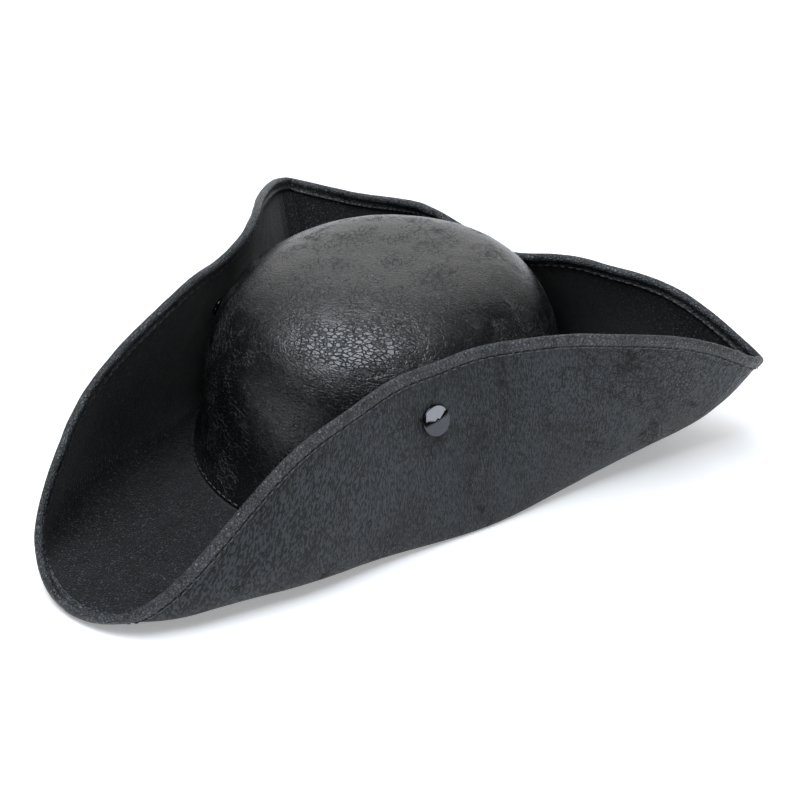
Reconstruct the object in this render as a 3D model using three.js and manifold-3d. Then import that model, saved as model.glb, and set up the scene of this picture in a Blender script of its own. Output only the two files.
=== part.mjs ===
// A tricorn hat in crackled black leather: a stiff domed crown sewn to a wide brim, whose three sides
// are turned up and held to the crown by snap studs, with a bound edge.
// Millimetres, +Z up, the wearer's front towards -Y and the wearer's left towards +X.
// The origin is the centre of the head opening, on the surface that the hat rests on.
import * as THREE from 'three';
import { mergeVertices } from 'three/addons/utils/BufferGeometryUtils.js';
import Module from 'manifold-3d';

const wasm = await Module();
wasm.setup();

// Crown sizes, measured outside the leather
const crownHalfLength = 100;
const crownHalfWidth = 92.5;
const crownHeight = 105;
const crownWall = 2.5;
// 2 makes the crown's profile a half ellipse, and more makes its shoulder squarer
const shoulderPower = 3.5;
const footFlare = 6.5;
const footFlareHeight = 14;

// Brim sizes
const brimWidth = 112;
const brimWall = 1.8;
const flapHeight = 100;
// flat ring outside the crown's foot, before the brim starts to turn up
const footMargin = 3;
// the thread's give between the crown's foot and the brim
const seamGap = 0.3;
// how far round from the front the two rear corners lie, in degrees
const leftCornerAngle = 129;
const rightCornerAngle = 119;
// share of a turn over which the rim is rounded at a corner
const cornerRounding = 0.012;

// Edge binding
const bindingWidth = 6;
const bindingWall = 1;
const bindingGap = 0.3;
// how far past the rim its flat faces go, as a share of its wall, and how far down its bend's sides
// reach, as a share of the half thickness under it
const bindingOverhang = 0.3;
const bindingBend = 0.6;

// Snap studs
const leftSnapAngle = 58.5;
const rightSnapAngle = 62;
const backSnapAngle = 180;
const leftSnapFromRim = 28;
const rightSnapFromRim = 34;
const backSnapFromRim = 24;
const capRadius = 8;
const capThickness = 1.6;
const capRise = 1.2;
const capBevel = 0.7;
const capLip = 0.8;
const capLipRise = 0.3;
const capPointRadius = 1.1;
const capPointTopRadius = 0.6;
// share of the cap's thickness that its bore takes, and of its rise that its cone takes
const capBoreShare = 0.7;
const capConeShare = 0.7;
const collarRadius = 5;
const shankRadius = 2;
const shankGap = 0.3;
const rivetRadius = 4.5;
const rivetThickness = 1.2;
const snapGap = 0.3;

// How finely the round shapes are faceted
const crownSegments = 56;
const crownRings = 11;
const brimStations = 108;
const foldRows = 8;
const snapSegments = 16;
const rimSampleCount = 900;
// length of rim that a full bend counts for when the sections are spread along it
const bendLength = 14;
const seatSamples = 12;
const seatStride = 0.05;
// steps from the middle of a snap's seat out to its edge
const seatSteps = 4;
// times that the search for the end of the binding halves its range
const hemHalvings = 20;
// how far a shank's hole is cut past the faces of the brim
const holeOvershoot = 1;

// The brim, a row for each section from the front round to the back, the same way on both sides. Its
// columns are turn, leftReach, leftRise, rightReach, rightRise, fold and tight. turn is 0 at the
// front, 1 at the rear corner and 2 at the back. reach is how far the rim lies outside the crown's
// foot and fold is how far out the brim turns up, both as shares of the brim's width. rise is the
// rim's height as a share of the flaps' height. tight is how closely the section keeps to its fold.
const sections = [
  [0.00,  1.05,  0.04,  1.05,  0.04,  0.85,  0.80],
  [0.09,  0.95,  0.18,  0.94,  0.19,  0.94,  0.90],
  [0.18,  0.48,  0.72,  0.59,  0.60,  0.69,  0.92],
  [0.30,  0.12,  0.94,  0.08,  0.94,  0.32,  0.90],
  [0.48, -0.09,  0.97, -0.12,  0.98,  0.07,  0.84],
  [0.66, -0.01,  1.01, -0.12,  1.01,  0.06,  0.82],
  [0.82,  0.25,  0.96,  0.09,  0.95,  0.21,  0.82],
  [0.92,  0.59,  0.83,  0.43,  0.79,  0.39,  0.81],
  [1.00,  0.91,  0.51,  0.90,  0.55,  0.57,  0.77],
  [1.15,  0.59,  0.73,  0.56,  0.61,  0.50,  0.83],
  [1.45,  0.16,  0.82,  0.05,  0.82,  0.41,  0.87],
  [2.00, -0.09,  0.73, -0.09,  0.73,  0.33,  0.92],
].map(([turn, leftReach, leftRise, rightReach, rightRise, fold, tight]) => (
  { turn, leftReach, leftRise, rightReach, rightRise, fold, tight }
));
const cornerRow = sections.findIndex((row) => row.turn === 1);

const sides = {
  left: { sign: 1, corner: leftCornerAngle, reach: 'leftReach', rise: 'leftRise' },
  right: { sign: -1, corner: rightCornerAngle, reach: 'rightReach', rise: 'rightRise' },
};

const leather = new THREE.MeshStandardMaterial({ color: 0x303236, roughness: 0.55, metalness: 0 });
const edging = new THREE.MeshStandardMaterial({ color: 0x26282b, roughness: 0.5, metalness: 0 });
const nickel = new THREE.MeshStandardMaterial({ color: 0x6f7275, roughness: 0.25, metalness: 1 });

// The crown's outline at a height above its foot, as a share of its half axes
function crownGirth(height, fullHeight) {
  const level = Math.min(Math.max(height / fullHeight, 0), 1);
  return Math.pow(1 - Math.pow(level, shoulderPower), 1 / shoulderPower);
}

function footSpread(height) {
  return footFlare * Math.exp(-((height / footFlareHeight) ** 2));
}

// Distance from the axis to an oval with the crown's outline, at an angle from the front
function ovalRadius(angle, inset, girth, spread) {
  const halfWidth = (crownHalfWidth - inset) * girth + spread;
  const halfLength = (crownHalfLength - inset) * girth + spread;
  return 1 / Math.hypot(Math.sin(angle) / halfWidth, Math.cos(angle) / halfLength);
}

const crownBase = brimWall + seamGap;

function crownRadius(angle, z, inset) {
  const height = z - crownBase;
  return ovalRadius(angle, inset, crownGirth(height, crownHeight - inset), footSpread(height));
}

function footRadius(angle) {
  return ovalRadius(angle, 0, 1, footFlare);
}

// One side of the crown's wall, from its top down to its foot
function crownOutline(inset) {
  const fullHeight = crownHeight - inset;
  const points = [];
  for (let ring = 0; ring <= crownRings; ring++) {
    const lift = (Math.PI / 2) * (1 - ring / crownRings);
    const height = fullHeight * Math.pow(Math.sin(lift), 2 / shoulderPower);
    const radius = (crownHalfLength - inset) * crownGirth(height, fullHeight) + footSpread(height);
    points.push(new THREE.Vector2(ring === 0 ? 0 : radius, crownBase + height));
  }
  return points;
}

function crownGeometry() {
  const profile = [...crownOutline(crownWall), ...crownOutline(0).reverse()];
  const geometry = new THREE.LatheGeometry(profile, crownSegments);
  geometry.rotateX(Math.PI / 2);
  geometry.scale((crownHalfWidth + footFlare) / (crownHalfLength + footFlare), 1, 1);
  return geometry;
}

// Slopes of a column on the two sides of each row. They differ only at the corner, where the rim
// bends sharply.
function columnSlopes(name) {
  const steps = sections.slice(1).map((row, i) => row.turn - sections[i].turn);
  const rates = steps.map((step, i) => (sections[i + 1][name] - sections[i][name]) / step);
  const slopes = sections.map((row, i) => {
    if (i === 0 || i === sections.length - 1) {
      return { before: 0, after: 0 };
    }
    const slope = (rates[i - 1] * steps[i] + rates[i] * steps[i - 1]) / (steps[i - 1] + steps[i]);
    return { before: slope, after: slope };
  });
  slopes[cornerRow] = {
    before: 2 * rates[cornerRow - 1] - slopes[cornerRow - 1].after,
    after: 2 * rates[cornerRow] - slopes[cornerRow + 1].before,
  };
  return slopes;
}

const slopeTable = new Map();

function readColumn(name, turn) {
  if (!slopeTable.has(name)) {
    slopeTable.set(name, columnSlopes(name));
  }
  const slopes = slopeTable.get(name);
  const at = Math.min(Math.abs(turn), 4 - Math.abs(turn));
  const next = Math.max(1, sections.findIndex((row) => row.turn >= at));
  const step = sections[next].turn - sections[next - 1].turn;
  const u = (at - sections[next - 1].turn) / step;
  return (1 + 2 * u) * (1 - u) ** 2 * sections[next - 1][name]
    + u * (1 - u) ** 2 * step * slopes[next - 1].after
    + u * u * (3 - 2 * u) * sections[next][name]
    + u * u * (u - 1) * step * slopes[next].before;
}

// A column's value, averaged over a short stretch so that the corners are rounded
function softColumn(name, turn) {
  let sum = 0;
  for (const offset of [-2, -1, 0, 1, 2]) {
    sum += readColumn(name, turn + offset * cornerRounding);
  }
  return sum / 5;
}

function turnAngle(side, turn) {
  const corner = THREE.MathUtils.degToRad(side.corner);
  return turn <= 1 ? turn * corner : corner + (turn - 1) * (Math.PI - corner);
}

function angleTurn(side, degrees) {
  return degrees <= side.corner ? degrees / side.corner : 1 + (degrees - side.corner) / (180 - side.corner);
}

// The section of the brim's middle surface at a turn, as a curve of distance out and height
function sectionCurve(side, turn) {
  const foot = footRadius(turnAngle(side, turn));
  const start = new THREE.Vector2(foot + footMargin, brimWall / 2);
  const rim = new THREE.Vector2(
    foot + softColumn(side.reach, turn) * brimWidth,
    softColumn(side.rise, turn) * flapHeight,
  );
  const fold = new THREE.Vector2(start.x + softColumn('fold', turn) * brimWidth, brimWall / 2);
  const tight = softColumn('tight', turn);
  return new THREE.CubicBezierCurve(
    start,
    start.clone().lerp(fold, tight),
    rim.clone().lerp(fold, tight),
    rim,
  );
}

function placeAround(side, turn, out, height) {
  const angle = turnAngle(side, turn);
  return new THREE.Vector3(side.sign * out * Math.sin(angle), -out * Math.cos(angle), height);
}

function brimPoint(side, turn, share) {
  const point = sectionCurve(side, turn).getPoint(share);
  return placeAround(side, turn, point.x, point.y);
}

// The brim's middle surface at a turn and a share of its section, with its directions. The normal
// points to the face that is the upper one where the brim lies flat.
function brimFrame(side, turn, share) {
  const reachStep = 0.002;
  const low = Math.max(share - reachStep, 0);
  const high = Math.min(share + reachStep, 1);
  const across = brimPoint(side, turn, high).sub(brimPoint(side, turn, low)).divideScalar(high - low);
  const back = Math.max(turn - reachStep, 0);
  const ahead = Math.min(turn + reachStep, 2);
  const along = brimPoint(side, ahead, share).sub(brimPoint(side, back, share)).divideScalar(ahead - back);
  const normal = across.clone().cross(along).multiplyScalar(side.sign).normalize();
  return { point: brimPoint(side, turn, share), across, along, normal };
}

// Points closely along the rim, once round the hat
function rimSamples() {
  const samples = [];
  for (let i = 0; i < rimSampleCount; i++) {
    const turn = (4 * i) / rimSampleCount;
    const place = turn <= 2 ? { side: sides.left, turn } : { side: sides.right, turn: 4 - turn };
    samples.push({ ...place, point: brimPoint(place.side, place.turn, 1) });
  }
  return samples;
}

// Places for the brim's sections, evenly along the rim but closer together where it bends
function rimStations(samples) {
  const count = samples.length;
  const lengths = [0];
  for (let i = 0; i < count; i++) {
    const before = samples[i].point.clone().sub(samples[(i + count - 1) % count].point);
    const after = samples[(i + 1) % count].point.clone().sub(samples[i].point);
    lengths.push(lengths[i] + after.length() + bendLength * before.angleTo(after));
  }
  const stations = [];
  for (let k = 0; k < brimStations; k++) {
    const target = (lengths[count] * k) / brimStations;
    const i = lengths.findIndex((length) => length > target) - 1;
    const along = (target - lengths[i]) / (lengths[i + 1] - lengths[i]);
    const turn = (4 * (i + along)) / count;
    const place = turn <= 2 ? { side: sides.left, turn } : { side: sides.right, turn: 4 - turn };
    stations.push({ ...place, hem: hemShare(place.side, place.turn, samples) });
  }
  return stations;
}

function rimDistance(point, samples) {
  const nearest = new THREE.Vector3();
  const line = new THREE.Line3();
  let least = Infinity;
  for (let i = 0; i < samples.length; i++) {
    line.set(samples[i].point, samples[(i + 1) % samples.length].point);
    line.closestPointToPoint(point, true, nearest);
    least = Math.min(least, nearest.distanceTo(point));
  }
  return least;
}

// The share of a section at which the edge binding ends, a constant width in from the rim
function hemShare(side, turn, samples) {
  let low = 0.5;
  let high = 1;
  for (let step = 0; step < hemHalvings; step++) {
    const middle = (low + high) / 2;
    if (rimDistance(brimPoint(side, turn, middle), samples) > bindingWidth) {
      low = middle;
    } else {
      high = middle;
    }
  }
  return low;
}

// A closed tube of rings that each hold the same count of points, joined back to the first ring.
// slant chooses which diagonal splits its four-sided faces.
function ringGeometry(rings, slant) {
  const count = rings[0].length;
  const positions = rings.flat().flatMap((point) => [point.x, point.y, point.z]);
  const indices = [];
  for (let i = 0; i < rings.length; i++) {
    const next = (i + 1) % rings.length;
    for (let j = 0; j < count; j++) {
      const beside = (j + 1) % count;
      const a = i * count + j;
      const b = i * count + beside;
      const c = next * count + beside;
      const d = next * count + j;
      indices.push(...(slant === 'forward' ? [a, b, c, a, c, d] : [a, b, d, b, c, d]));
    }
  }
  const geometry = new THREE.BufferGeometry();
  geometry.setAttribute('position', new THREE.Float32BufferAttribute(positions, 3));
  geometry.setIndex(indices);
  return geometry;
}

function brimGeometry(stations) {
  const rings = stations.map(({ side, turn, hem }) => {
    const opening = footRadius(turnAngle(side, turn)) - crownWall;
    const upper = [placeAround(side, turn, opening, brimWall)];
    const lower = [placeAround(side, turn, opening, 0)];
    for (let row = 0; row <= foldRows + 1; row++) {
      const share = row > foldRows ? 1 : (hem * row) / foldRows;
      const { point, normal } = brimFrame(side, turn, share);
      const offset = row === 0 ? new THREE.Vector3(0, 0, 1) : normal;
      upper.push(point.clone().addScaledVector(offset, brimWall / 2));
      lower.push(point.clone().addScaledVector(offset, -brimWall / 2));
    }
    return [...upper, ...lower.reverse()];
  });
  return ringGeometry(rings, 'forward');
}

// The binding is folded over the rim, and its faces follow the brim's own faces under it
function bindingGeometry(stations) {
  const inner = brimWall / 2 + bindingGap;
  const outer = inner + bindingWall;
  const overhang = bindingGap + bindingWall * bindingOverhang;
  const bend = inner * bindingBend;
  const rings = stations.map(({ side, turn, hem }) => {
    const rim = brimFrame(side, turn, 1);
    const hemmed = brimFrame(side, turn, hem);
    const outward = rim.along.clone().cross(rim.normal).multiplyScalar(side.sign).normalize();
    const beyond = (distance, height) => rim.point.clone()
      .addScaledVector(outward, distance).addScaledVector(rim.normal, height);
    const leg = (height) => hemmed.point.clone().addScaledVector(hemmed.normal, height);
    return [
      leg(outer),
      beyond(overhang, outer),
      beyond(bindingGap + bindingWall, bend),
      beyond(bindingGap + bindingWall, -bend),
      beyond(overhang, -outer),
      leg(-outer),
      leg(-inner),
      beyond(bindingGap, -inner),
      beyond(bindingGap, inner),
      leg(inner),
    ];
  });
  return ringGeometry(rings, 'backward');
}

// Where a snap sits: on the brim's middle surface, with an axis that points out of the hat, and the
// distances along that axis to the leather on each side of it
function snapPlace(side, degrees, fromRim) {
  const turn = angleTurn(side, degrees);
  const curve = sectionCurve(side, turn);
  const share = curve.getUtoTmapping(1 - fromRim / curve.getLength());
  const spot = brimFrame(side, turn, share);
  const axis = spot.normal.clone().negate();
  const onAxis = new THREE.Quaternion().setFromUnitVectors(new THREE.Vector3(0, 0, 1), axis);
  const place = { spot, axis, onAxis, side, turn, share };
  place.flapOuter = flapSeat(place, capRadius, 1);
  place.flapInner = flapSeat(place, collarRadius, -1);
  place.crownOuter = crownSeat(place, collarRadius, 0, 1);
  place.crownInner = crownSeat(place, rivetRadius, crownWall, -1);
  return place;
}

// How far out along the axis the flap's outer face reaches inside a round seat, or how far in its
// inner face reaches
function flapSeat(place, radius, direction) {
  let reach = 0;
  const turnSpan = radius / place.spot.along.length();
  const shareSpan = radius / place.spot.across.length();
  for (let i = -seatSteps; i <= seatSteps; i++) {
    for (let j = -seatSteps; j <= seatSteps; j++) {
      const turn = place.turn + (i * turnSpan) / seatSteps;
      const share = place.share + (j * shareSpan) / seatSteps;
      const point = brimPoint(place.side, turn, share);
      reach = Math.max(reach, direction * point.sub(place.spot.point).dot(place.axis));
    }
  }
  return direction * (reach + brimWall / 2 + snapGap);
}

// The place along the axis where a round seat just clears the crown's wall, coming from outside the
// hat or from inside it
function crownSeat(place, radius, inset, direction) {
  const isClear = (distance) => {
    for (let step = 0; step < seatSamples; step++) {
      const around = (2 * Math.PI * step) / seatSamples;
      const point = new THREE.Vector3(radius * Math.cos(around), radius * Math.sin(around), distance)
        .applyQuaternion(place.onAxis).add(place.spot.point);
      const angle = Math.atan2(point.x, -point.y);
      const wall = crownRadius(angle, point.z, inset);
      if (direction * (Math.hypot(point.x, point.y) - wall) < snapGap) {
        return false;
      }
    }
    return true;
  };
  let distance = direction > 0 ? -crownHalfWidth / 2 : 0;
  while (!isClear(distance)) {
    distance += direction * seatStride;
  }
  return distance;
}

function latheOnAxis(profile, place) {
  const points = profile.map(([radius, height]) => new THREE.Vector2(radius, height));
  const geometry = new THREE.LatheGeometry(points, snapSegments);
  geometry.rotateX(Math.PI / 2);
  geometry.applyQuaternion(place.onAxis);
  geometry.translate(place.spot.point.x, place.spot.point.y, place.spot.point.z);
  return geometry;
}

// The visible cap: a shallow cone with a small point at its centre, bored below for the shank
function capGeometry(place) {
  const seat = place.flapOuter;
  const bore = shankRadius + shankGap;
  return latheOnAxis([
    [0, seat + capThickness * capBoreShare],
    [bore, seat + capThickness * capBoreShare],
    [bore, seat],
    [capRadius - capBevel, seat],
    [capRadius, seat + capBevel],
    [capRadius, seat + capThickness],
    [capRadius - capLip, seat + capThickness + capLipRise],
    [capPointRadius, seat + capThickness + capRise * capConeShare],
    [capPointTopRadius, seat + capThickness + capRise],
    [0, seat + capThickness + capRise],
  ], place);
}

// The stud that joins the flap to the crown: a rivet head inside the crown, a shank through its wall, a
// collar between crown and flap, and a shank through the flap into the cap
function studGeometry(place) {
  const end = place.flapOuter + capThickness * capBoreShare - shankGap;
  return latheOnAxis([
    [0, place.crownInner - rivetThickness],
    [rivetRadius, place.crownInner - rivetThickness],
    [rivetRadius, place.crownInner],
    [shankRadius, place.crownInner],
    [shankRadius, place.crownOuter],
    [collarRadius, place.crownOuter],
    [collarRadius, place.flapInner],
    [shankRadius, place.flapInner],
    [shankRadius, end],
    [0, end],
  ], place);
}

function shankHole(place, from, to) {
  const radius = shankRadius + shankGap;
  return latheOnAxis([[0, from], [radius, from], [radius, to], [0, to]], place);
}

function toSolid(geometry) {
  const bare = geometry.clone();
  bare.deleteAttribute('normal');
  bare.deleteAttribute('uv');
  const merged = mergeVertices(bare, 1e-3);
  const corners = [];
  for (let i = 0; i < merged.index.count; i += 3) {
    const [a, b, c] = [0, 1, 2].map((k) => merged.index.getX(i + k));
    if (a !== b && b !== c && c !== a) {
      corners.push(a, b, c);
    }
  }
  return new wasm.Manifold(new wasm.Mesh({
    numProp: 3,
    vertProperties: new Float32Array(merged.attributes.position.array),
    triVerts: new Uint32Array(corners),
  }));
}

function fromSolid(solid) {
  const { vertProperties, triVerts } = solid.getMesh();
  const geometry = new THREE.BufferGeometry();
  geometry.setAttribute('position', new THREE.BufferAttribute(vertProperties, 3));
  geometry.setIndex(new THREE.BufferAttribute(triVerts, 1));
  geometry.computeVertexNormals();
  return geometry;
}

function cutHoles(geometry, holes) {
  return fromSolid(holes.reduce((solid, hole) => solid.subtract(toSolid(hole)), toSolid(geometry)));
}

function addPiece(group, name, geometry, material) {
  const mesh = new THREE.Mesh(geometry, material);
  mesh.name = name;
  group.add(mesh);
}

const hat = new THREE.Group();
const stations = rimStations(rimSamples());
const snaps = {
  left: snapPlace(sides.left, leftSnapAngle, leftSnapFromRim),
  right: snapPlace(sides.right, rightSnapAngle, rightSnapFromRim),
  back: snapPlace(sides.left, backSnapAngle, backSnapFromRim),
};
const places = Object.values(snaps);

addPiece(hat, 'crown', cutHoles(
  crownGeometry(),
  places.map((place) => shankHole(place, place.crownInner - rivetRadius, place.flapInner)),
), leather);
addPiece(hat, 'brim', cutHoles(
  brimGeometry(stations),
  places.map((place) => (
    shankHole(place, place.flapInner - holeOvershoot, place.flapOuter + holeOvershoot)
  )),
), leather);
addPiece(hat, 'edge_binding', bindingGeometry(stations), edging);
for (const [name, place] of Object.entries(snaps)) {
  addPiece(hat, `snap_stud_${name}`, studGeometry(place), nickel);
  addPiece(hat, `snap_cap_${name}`, capGeometry(place), nickel);
}

export default hat;
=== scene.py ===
"""The looks of a tricorn hat in black cracked leathercloth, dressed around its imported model.

Everything is in metres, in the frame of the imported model: +Z up, the wearer's front towards -Y and
the wearer's left towards +X, with the origin at the centre of the head opening, on the floor.
"""

import logging
import math
from dataclasses import dataclass, field, replace
from enum import Enum

import bpy
import numpy as np
from mathutils import Matrix, Vector, noise
from mathutils.kdtree import KDTree

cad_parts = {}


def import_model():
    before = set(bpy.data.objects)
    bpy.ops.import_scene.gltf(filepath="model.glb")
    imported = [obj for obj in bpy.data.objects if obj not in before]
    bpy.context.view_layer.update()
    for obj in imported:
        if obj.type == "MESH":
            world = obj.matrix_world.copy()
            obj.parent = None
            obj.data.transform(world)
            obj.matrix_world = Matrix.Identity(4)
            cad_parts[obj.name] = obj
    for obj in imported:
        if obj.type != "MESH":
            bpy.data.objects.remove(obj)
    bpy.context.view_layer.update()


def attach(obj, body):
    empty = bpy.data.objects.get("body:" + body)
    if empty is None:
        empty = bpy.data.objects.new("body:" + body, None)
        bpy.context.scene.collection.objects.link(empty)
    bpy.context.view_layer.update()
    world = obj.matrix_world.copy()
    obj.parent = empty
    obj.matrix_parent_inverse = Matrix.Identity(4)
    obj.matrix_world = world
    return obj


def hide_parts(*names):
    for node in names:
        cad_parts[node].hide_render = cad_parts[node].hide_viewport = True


log = logging.getLogger("tricorn_hat")

MM = 0.001
BODY = "root"


# Small helpers for meshes and nodes


def linear_colour(hex_colour: str) -> tuple[float, float, float, float]:
    """Turns an sRGB hex colour into the linear colour that a shader takes.

    Args:
        hex_colour: Six hex digits after a hash.

    Returns:
        Linear red, green and blue, and an alpha of 1.
    """
    channels = [int(hex_colour[i:i + 2], 16) / 255 for i in (1, 3, 5)]
    linear = [c / 12.92 if c <= 0.04045 else ((c + 0.055) / 1.055) ** 2.4 for c in channels]
    return (*linear, 1.0)


def add_node(tree: bpy.types.NodeTree, kind: str, settings: dict | None = None,
             inputs: dict | None = None) -> bpy.types.Node:
    """Adds a node to a tree, with its settings and inputs.

    Args:
        tree: The shader or geometry tree.
        kind: The node's type name.
        settings: Values of the node's own properties.
        inputs: For an input's name or index, the socket that feeds it or the value that it holds.

    Returns:
        The new node.
    """
    node = tree.nodes.new(kind)
    for name, value in (settings or {}).items():
        setattr(node, name, value)
    for name, source in (inputs or {}).items():
        if isinstance(source, bpy.types.NodeSocket):
            tree.links.new(source, node.inputs[name])
        else:
            node.inputs[name].default_value = source
    return node


def wander(points: np.ndarray, size: float, seed: float) -> np.ndarray:
    """Smooth noise at points in space.

    Args:
        points: Places, with x, y and z along the last axis.
        size: Distance over which the noise changes, in metres.
        seed: Shift into another part of the noise.

    Returns:
        A value between about -1 and 1 for each place.
    """
    flat = (points.reshape(-1, 3) / size + seed).tolist()
    return np.array([noise.noise(place) for place in flat]).reshape(points.shape[:-1])


def smooth_step(values: np.ndarray, low: float, high: float) -> np.ndarray:
    """Rises smoothly from 0 at low to 1 at high."""
    share = np.clip((values - low) / (high - low), 0, 1)
    return share * share * (3 - 2 * share)


def ring_faces(rings: int, count: int, closed: bool) -> np.ndarray:
    """Four-sided faces between rings of points.

    Args:
        rings: How many rings there are.
        count: Points in each ring, which is joined end to end.
        closed: Whether the last ring is joined to the first.

    Returns:
        Four point numbers for each face.
    """
    i = np.arange(rings if closed else rings - 1)[:, None]
    j = np.arange(count)[None, :]
    after = (i + 1) % rings
    beside = (j + 1) % count
    corners = [i * count + j, i * count + beside, after * count + beside, after * count + j]
    return np.stack(np.broadcast_arrays(*corners), axis=-1).reshape(-1, 4)


def signed_volume(points: np.ndarray, faces: list[list[int]]) -> float:
    """Volume inside a closed mesh, which is negative if its faces point inwards.

    Args:
        points: Corner places, one row each.
        faces: Corner numbers of each face.

    Returns:
        The volume, in cubic metres.
    """
    total = 0.0
    for size in {len(face) for face in faces}:
        alike = np.array([face for face in faces if len(face) == size])
        first = points[alike[:, 0]]
        for k in range(1, size - 1):
            total += np.einsum("ij,ij->", first, np.cross(points[alike[:, k]], points[alike[:, k + 1]]))
    return total / 6


def make_piece(name: str, points: np.ndarray, faces: list[list[int]],
               materials: list[bpy.types.Material], face_material: np.ndarray | None = None,
               pattern: np.ndarray | None = None) -> bpy.types.Object:
    """Makes a smooth closed mesh object at the origin, with its faces pointing outwards.

    Args:
        name: The piece's name.
        points: Corner places, one row each.
        faces: Corner numbers of each face.
        materials: The piece's material slots.
        face_material: The slot of each face, or None where there is one material.
        pattern: Where each corner lies in the pattern, in metres, with x, y and z.

    Returns:
        The new object.
    """
    if signed_volume(points, faces) < 0:
        faces = [face[::-1] for face in faces]
    mesh = bpy.data.meshes.new(name)
    mesh.from_pydata(points.tolist(), [], faces)
    for material in materials:
        mesh.materials.append(material)
    if face_material is not None:
        mesh.polygons.foreach_set("material_index", face_material.astype(np.int32))
    if pattern is not None:
        layer = mesh.attributes.new(PATTERN_MAP, "FLOAT_VECTOR", "POINT")
        layer.data.foreach_set("vector", pattern.astype(np.float32).ravel())
    mesh.shade_smooth()
    mesh.update()
    piece = bpy.data.objects.new(name, mesh)
    bpy.context.scene.collection.objects.link(piece)
    return piece


def dress(piece: bpy.types.Object, slot: str, *nodes: str) -> None:
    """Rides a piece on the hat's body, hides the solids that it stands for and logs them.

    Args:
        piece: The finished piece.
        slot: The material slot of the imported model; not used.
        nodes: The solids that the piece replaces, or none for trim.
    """
    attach(piece, BODY)
    if nodes:
        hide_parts(*nodes)
    log.info("%s: %d faces, for %s", piece.name, len(piece.data.polygons), ", ".join(nodes) or "trim")


# Shape of the hat


@dataclass(frozen=True)
class CrownShape:
    """Outline of the stiff crown, measured outside the leather.

    A shoulder_power of 2 makes its profile a half ellipse, and more makes its shoulder squarer.
    """

    half_length: float = 100 * MM
    half_width: float = 92.5 * MM
    height: float = 105 * MM
    wall: float = 2.5 * MM
    shoulder_power: float = 3.5
    foot_flare: float = 6.5 * MM
    foot_flare_height: float = 14 * MM
    base: float = 2.1 * MM

    def girth(self, height: np.ndarray, full_height: float) -> np.ndarray:
        """The outline at a height above the foot, as a share of its half axes."""
        level = np.clip(height / full_height, 0, 1)
        return (1 - level ** self.shoulder_power) ** (1 / self.shoulder_power)

    def spread(self, height: np.ndarray) -> np.ndarray:
        """How far the foot flares out at a height above it."""
        return self.foot_flare * np.exp(-((height / self.foot_flare_height) ** 2))

    def oval_radius(self, angle: np.ndarray, inset: float, girth: np.ndarray,
                    spread: np.ndarray) -> np.ndarray:
        """Distance from the axis to an oval with the crown's outline, at an angle from the front.

        Args:
            angle: Angle from the front, in radians.
            inset: How far inside the outer face it lies.
            girth: Its share of the crown's half axes.
            spread: How far it is spread beyond them.

        Returns:
            The distance.
        """
        half_width = (self.half_width - inset) * girth + spread
        half_length = (self.half_length - inset) * girth + spread
        return 1 / np.hypot(np.sin(angle) / half_width, np.cos(angle) / half_length)

    def foot_radius(self, angle: np.ndarray) -> np.ndarray:
        """Distance from the axis to the crown's foot, at an angle from the front."""
        return self.oval_radius(angle, 0, 1, self.foot_flare)

    def wall_radius(self, angle: np.ndarray, level: np.ndarray, inset: float) -> np.ndarray:
        """Distance from the axis to the wall at an angle and a level above the floor.

        Args:
            angle: Angle from the front, in radians.
            level: Height above the floor.
            inset: How far inside the outer face it lies.

        Returns:
            The distance.
        """
        height = level - self.base
        girth = np.maximum(self.girth(height, self.height - inset), 1e-3)
        return self.oval_radius(angle, inset, girth, self.spread(height))

    def profile(self, inset: float, count: int) -> np.ndarray:
        """The wall's section on the hat's long axis, from its foot up to its top.

        Args:
            inset: How far inside the outer face it lies.
            count: How many points to give, evenly spaced.

        Returns:
            Distance from the axis and level above the floor of each point.
        """
        lift = np.linspace(0, math.pi / 2, 60 * count)
        full_height = self.height - inset
        height = full_height * np.sin(lift) ** (2 / self.shoulder_power)
        radius = (self.half_length - inset) * self.girth(height, full_height) + self.spread(height)
        radius[-1] = 0
        return evenly_spaced(np.stack([radius, self.base + height], axis=-1), count)


def evenly_spaced(line: np.ndarray, count: int) -> np.ndarray:
    """Points evenly spaced along a line of many points.

    Args:
        line: The line's points, one row each.
        count: How many points to give.

    Returns:
        The points, from one end to the other.
    """
    steps = np.linalg.norm(np.diff(line, axis=0), axis=1)
    lengths = np.concatenate([[0], np.cumsum(steps)])
    at = np.linspace(0, lengths[-1], count)
    return np.stack([np.interp(at, lengths, line[:, k]) for k in range(line.shape[1])], axis=-1)


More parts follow.
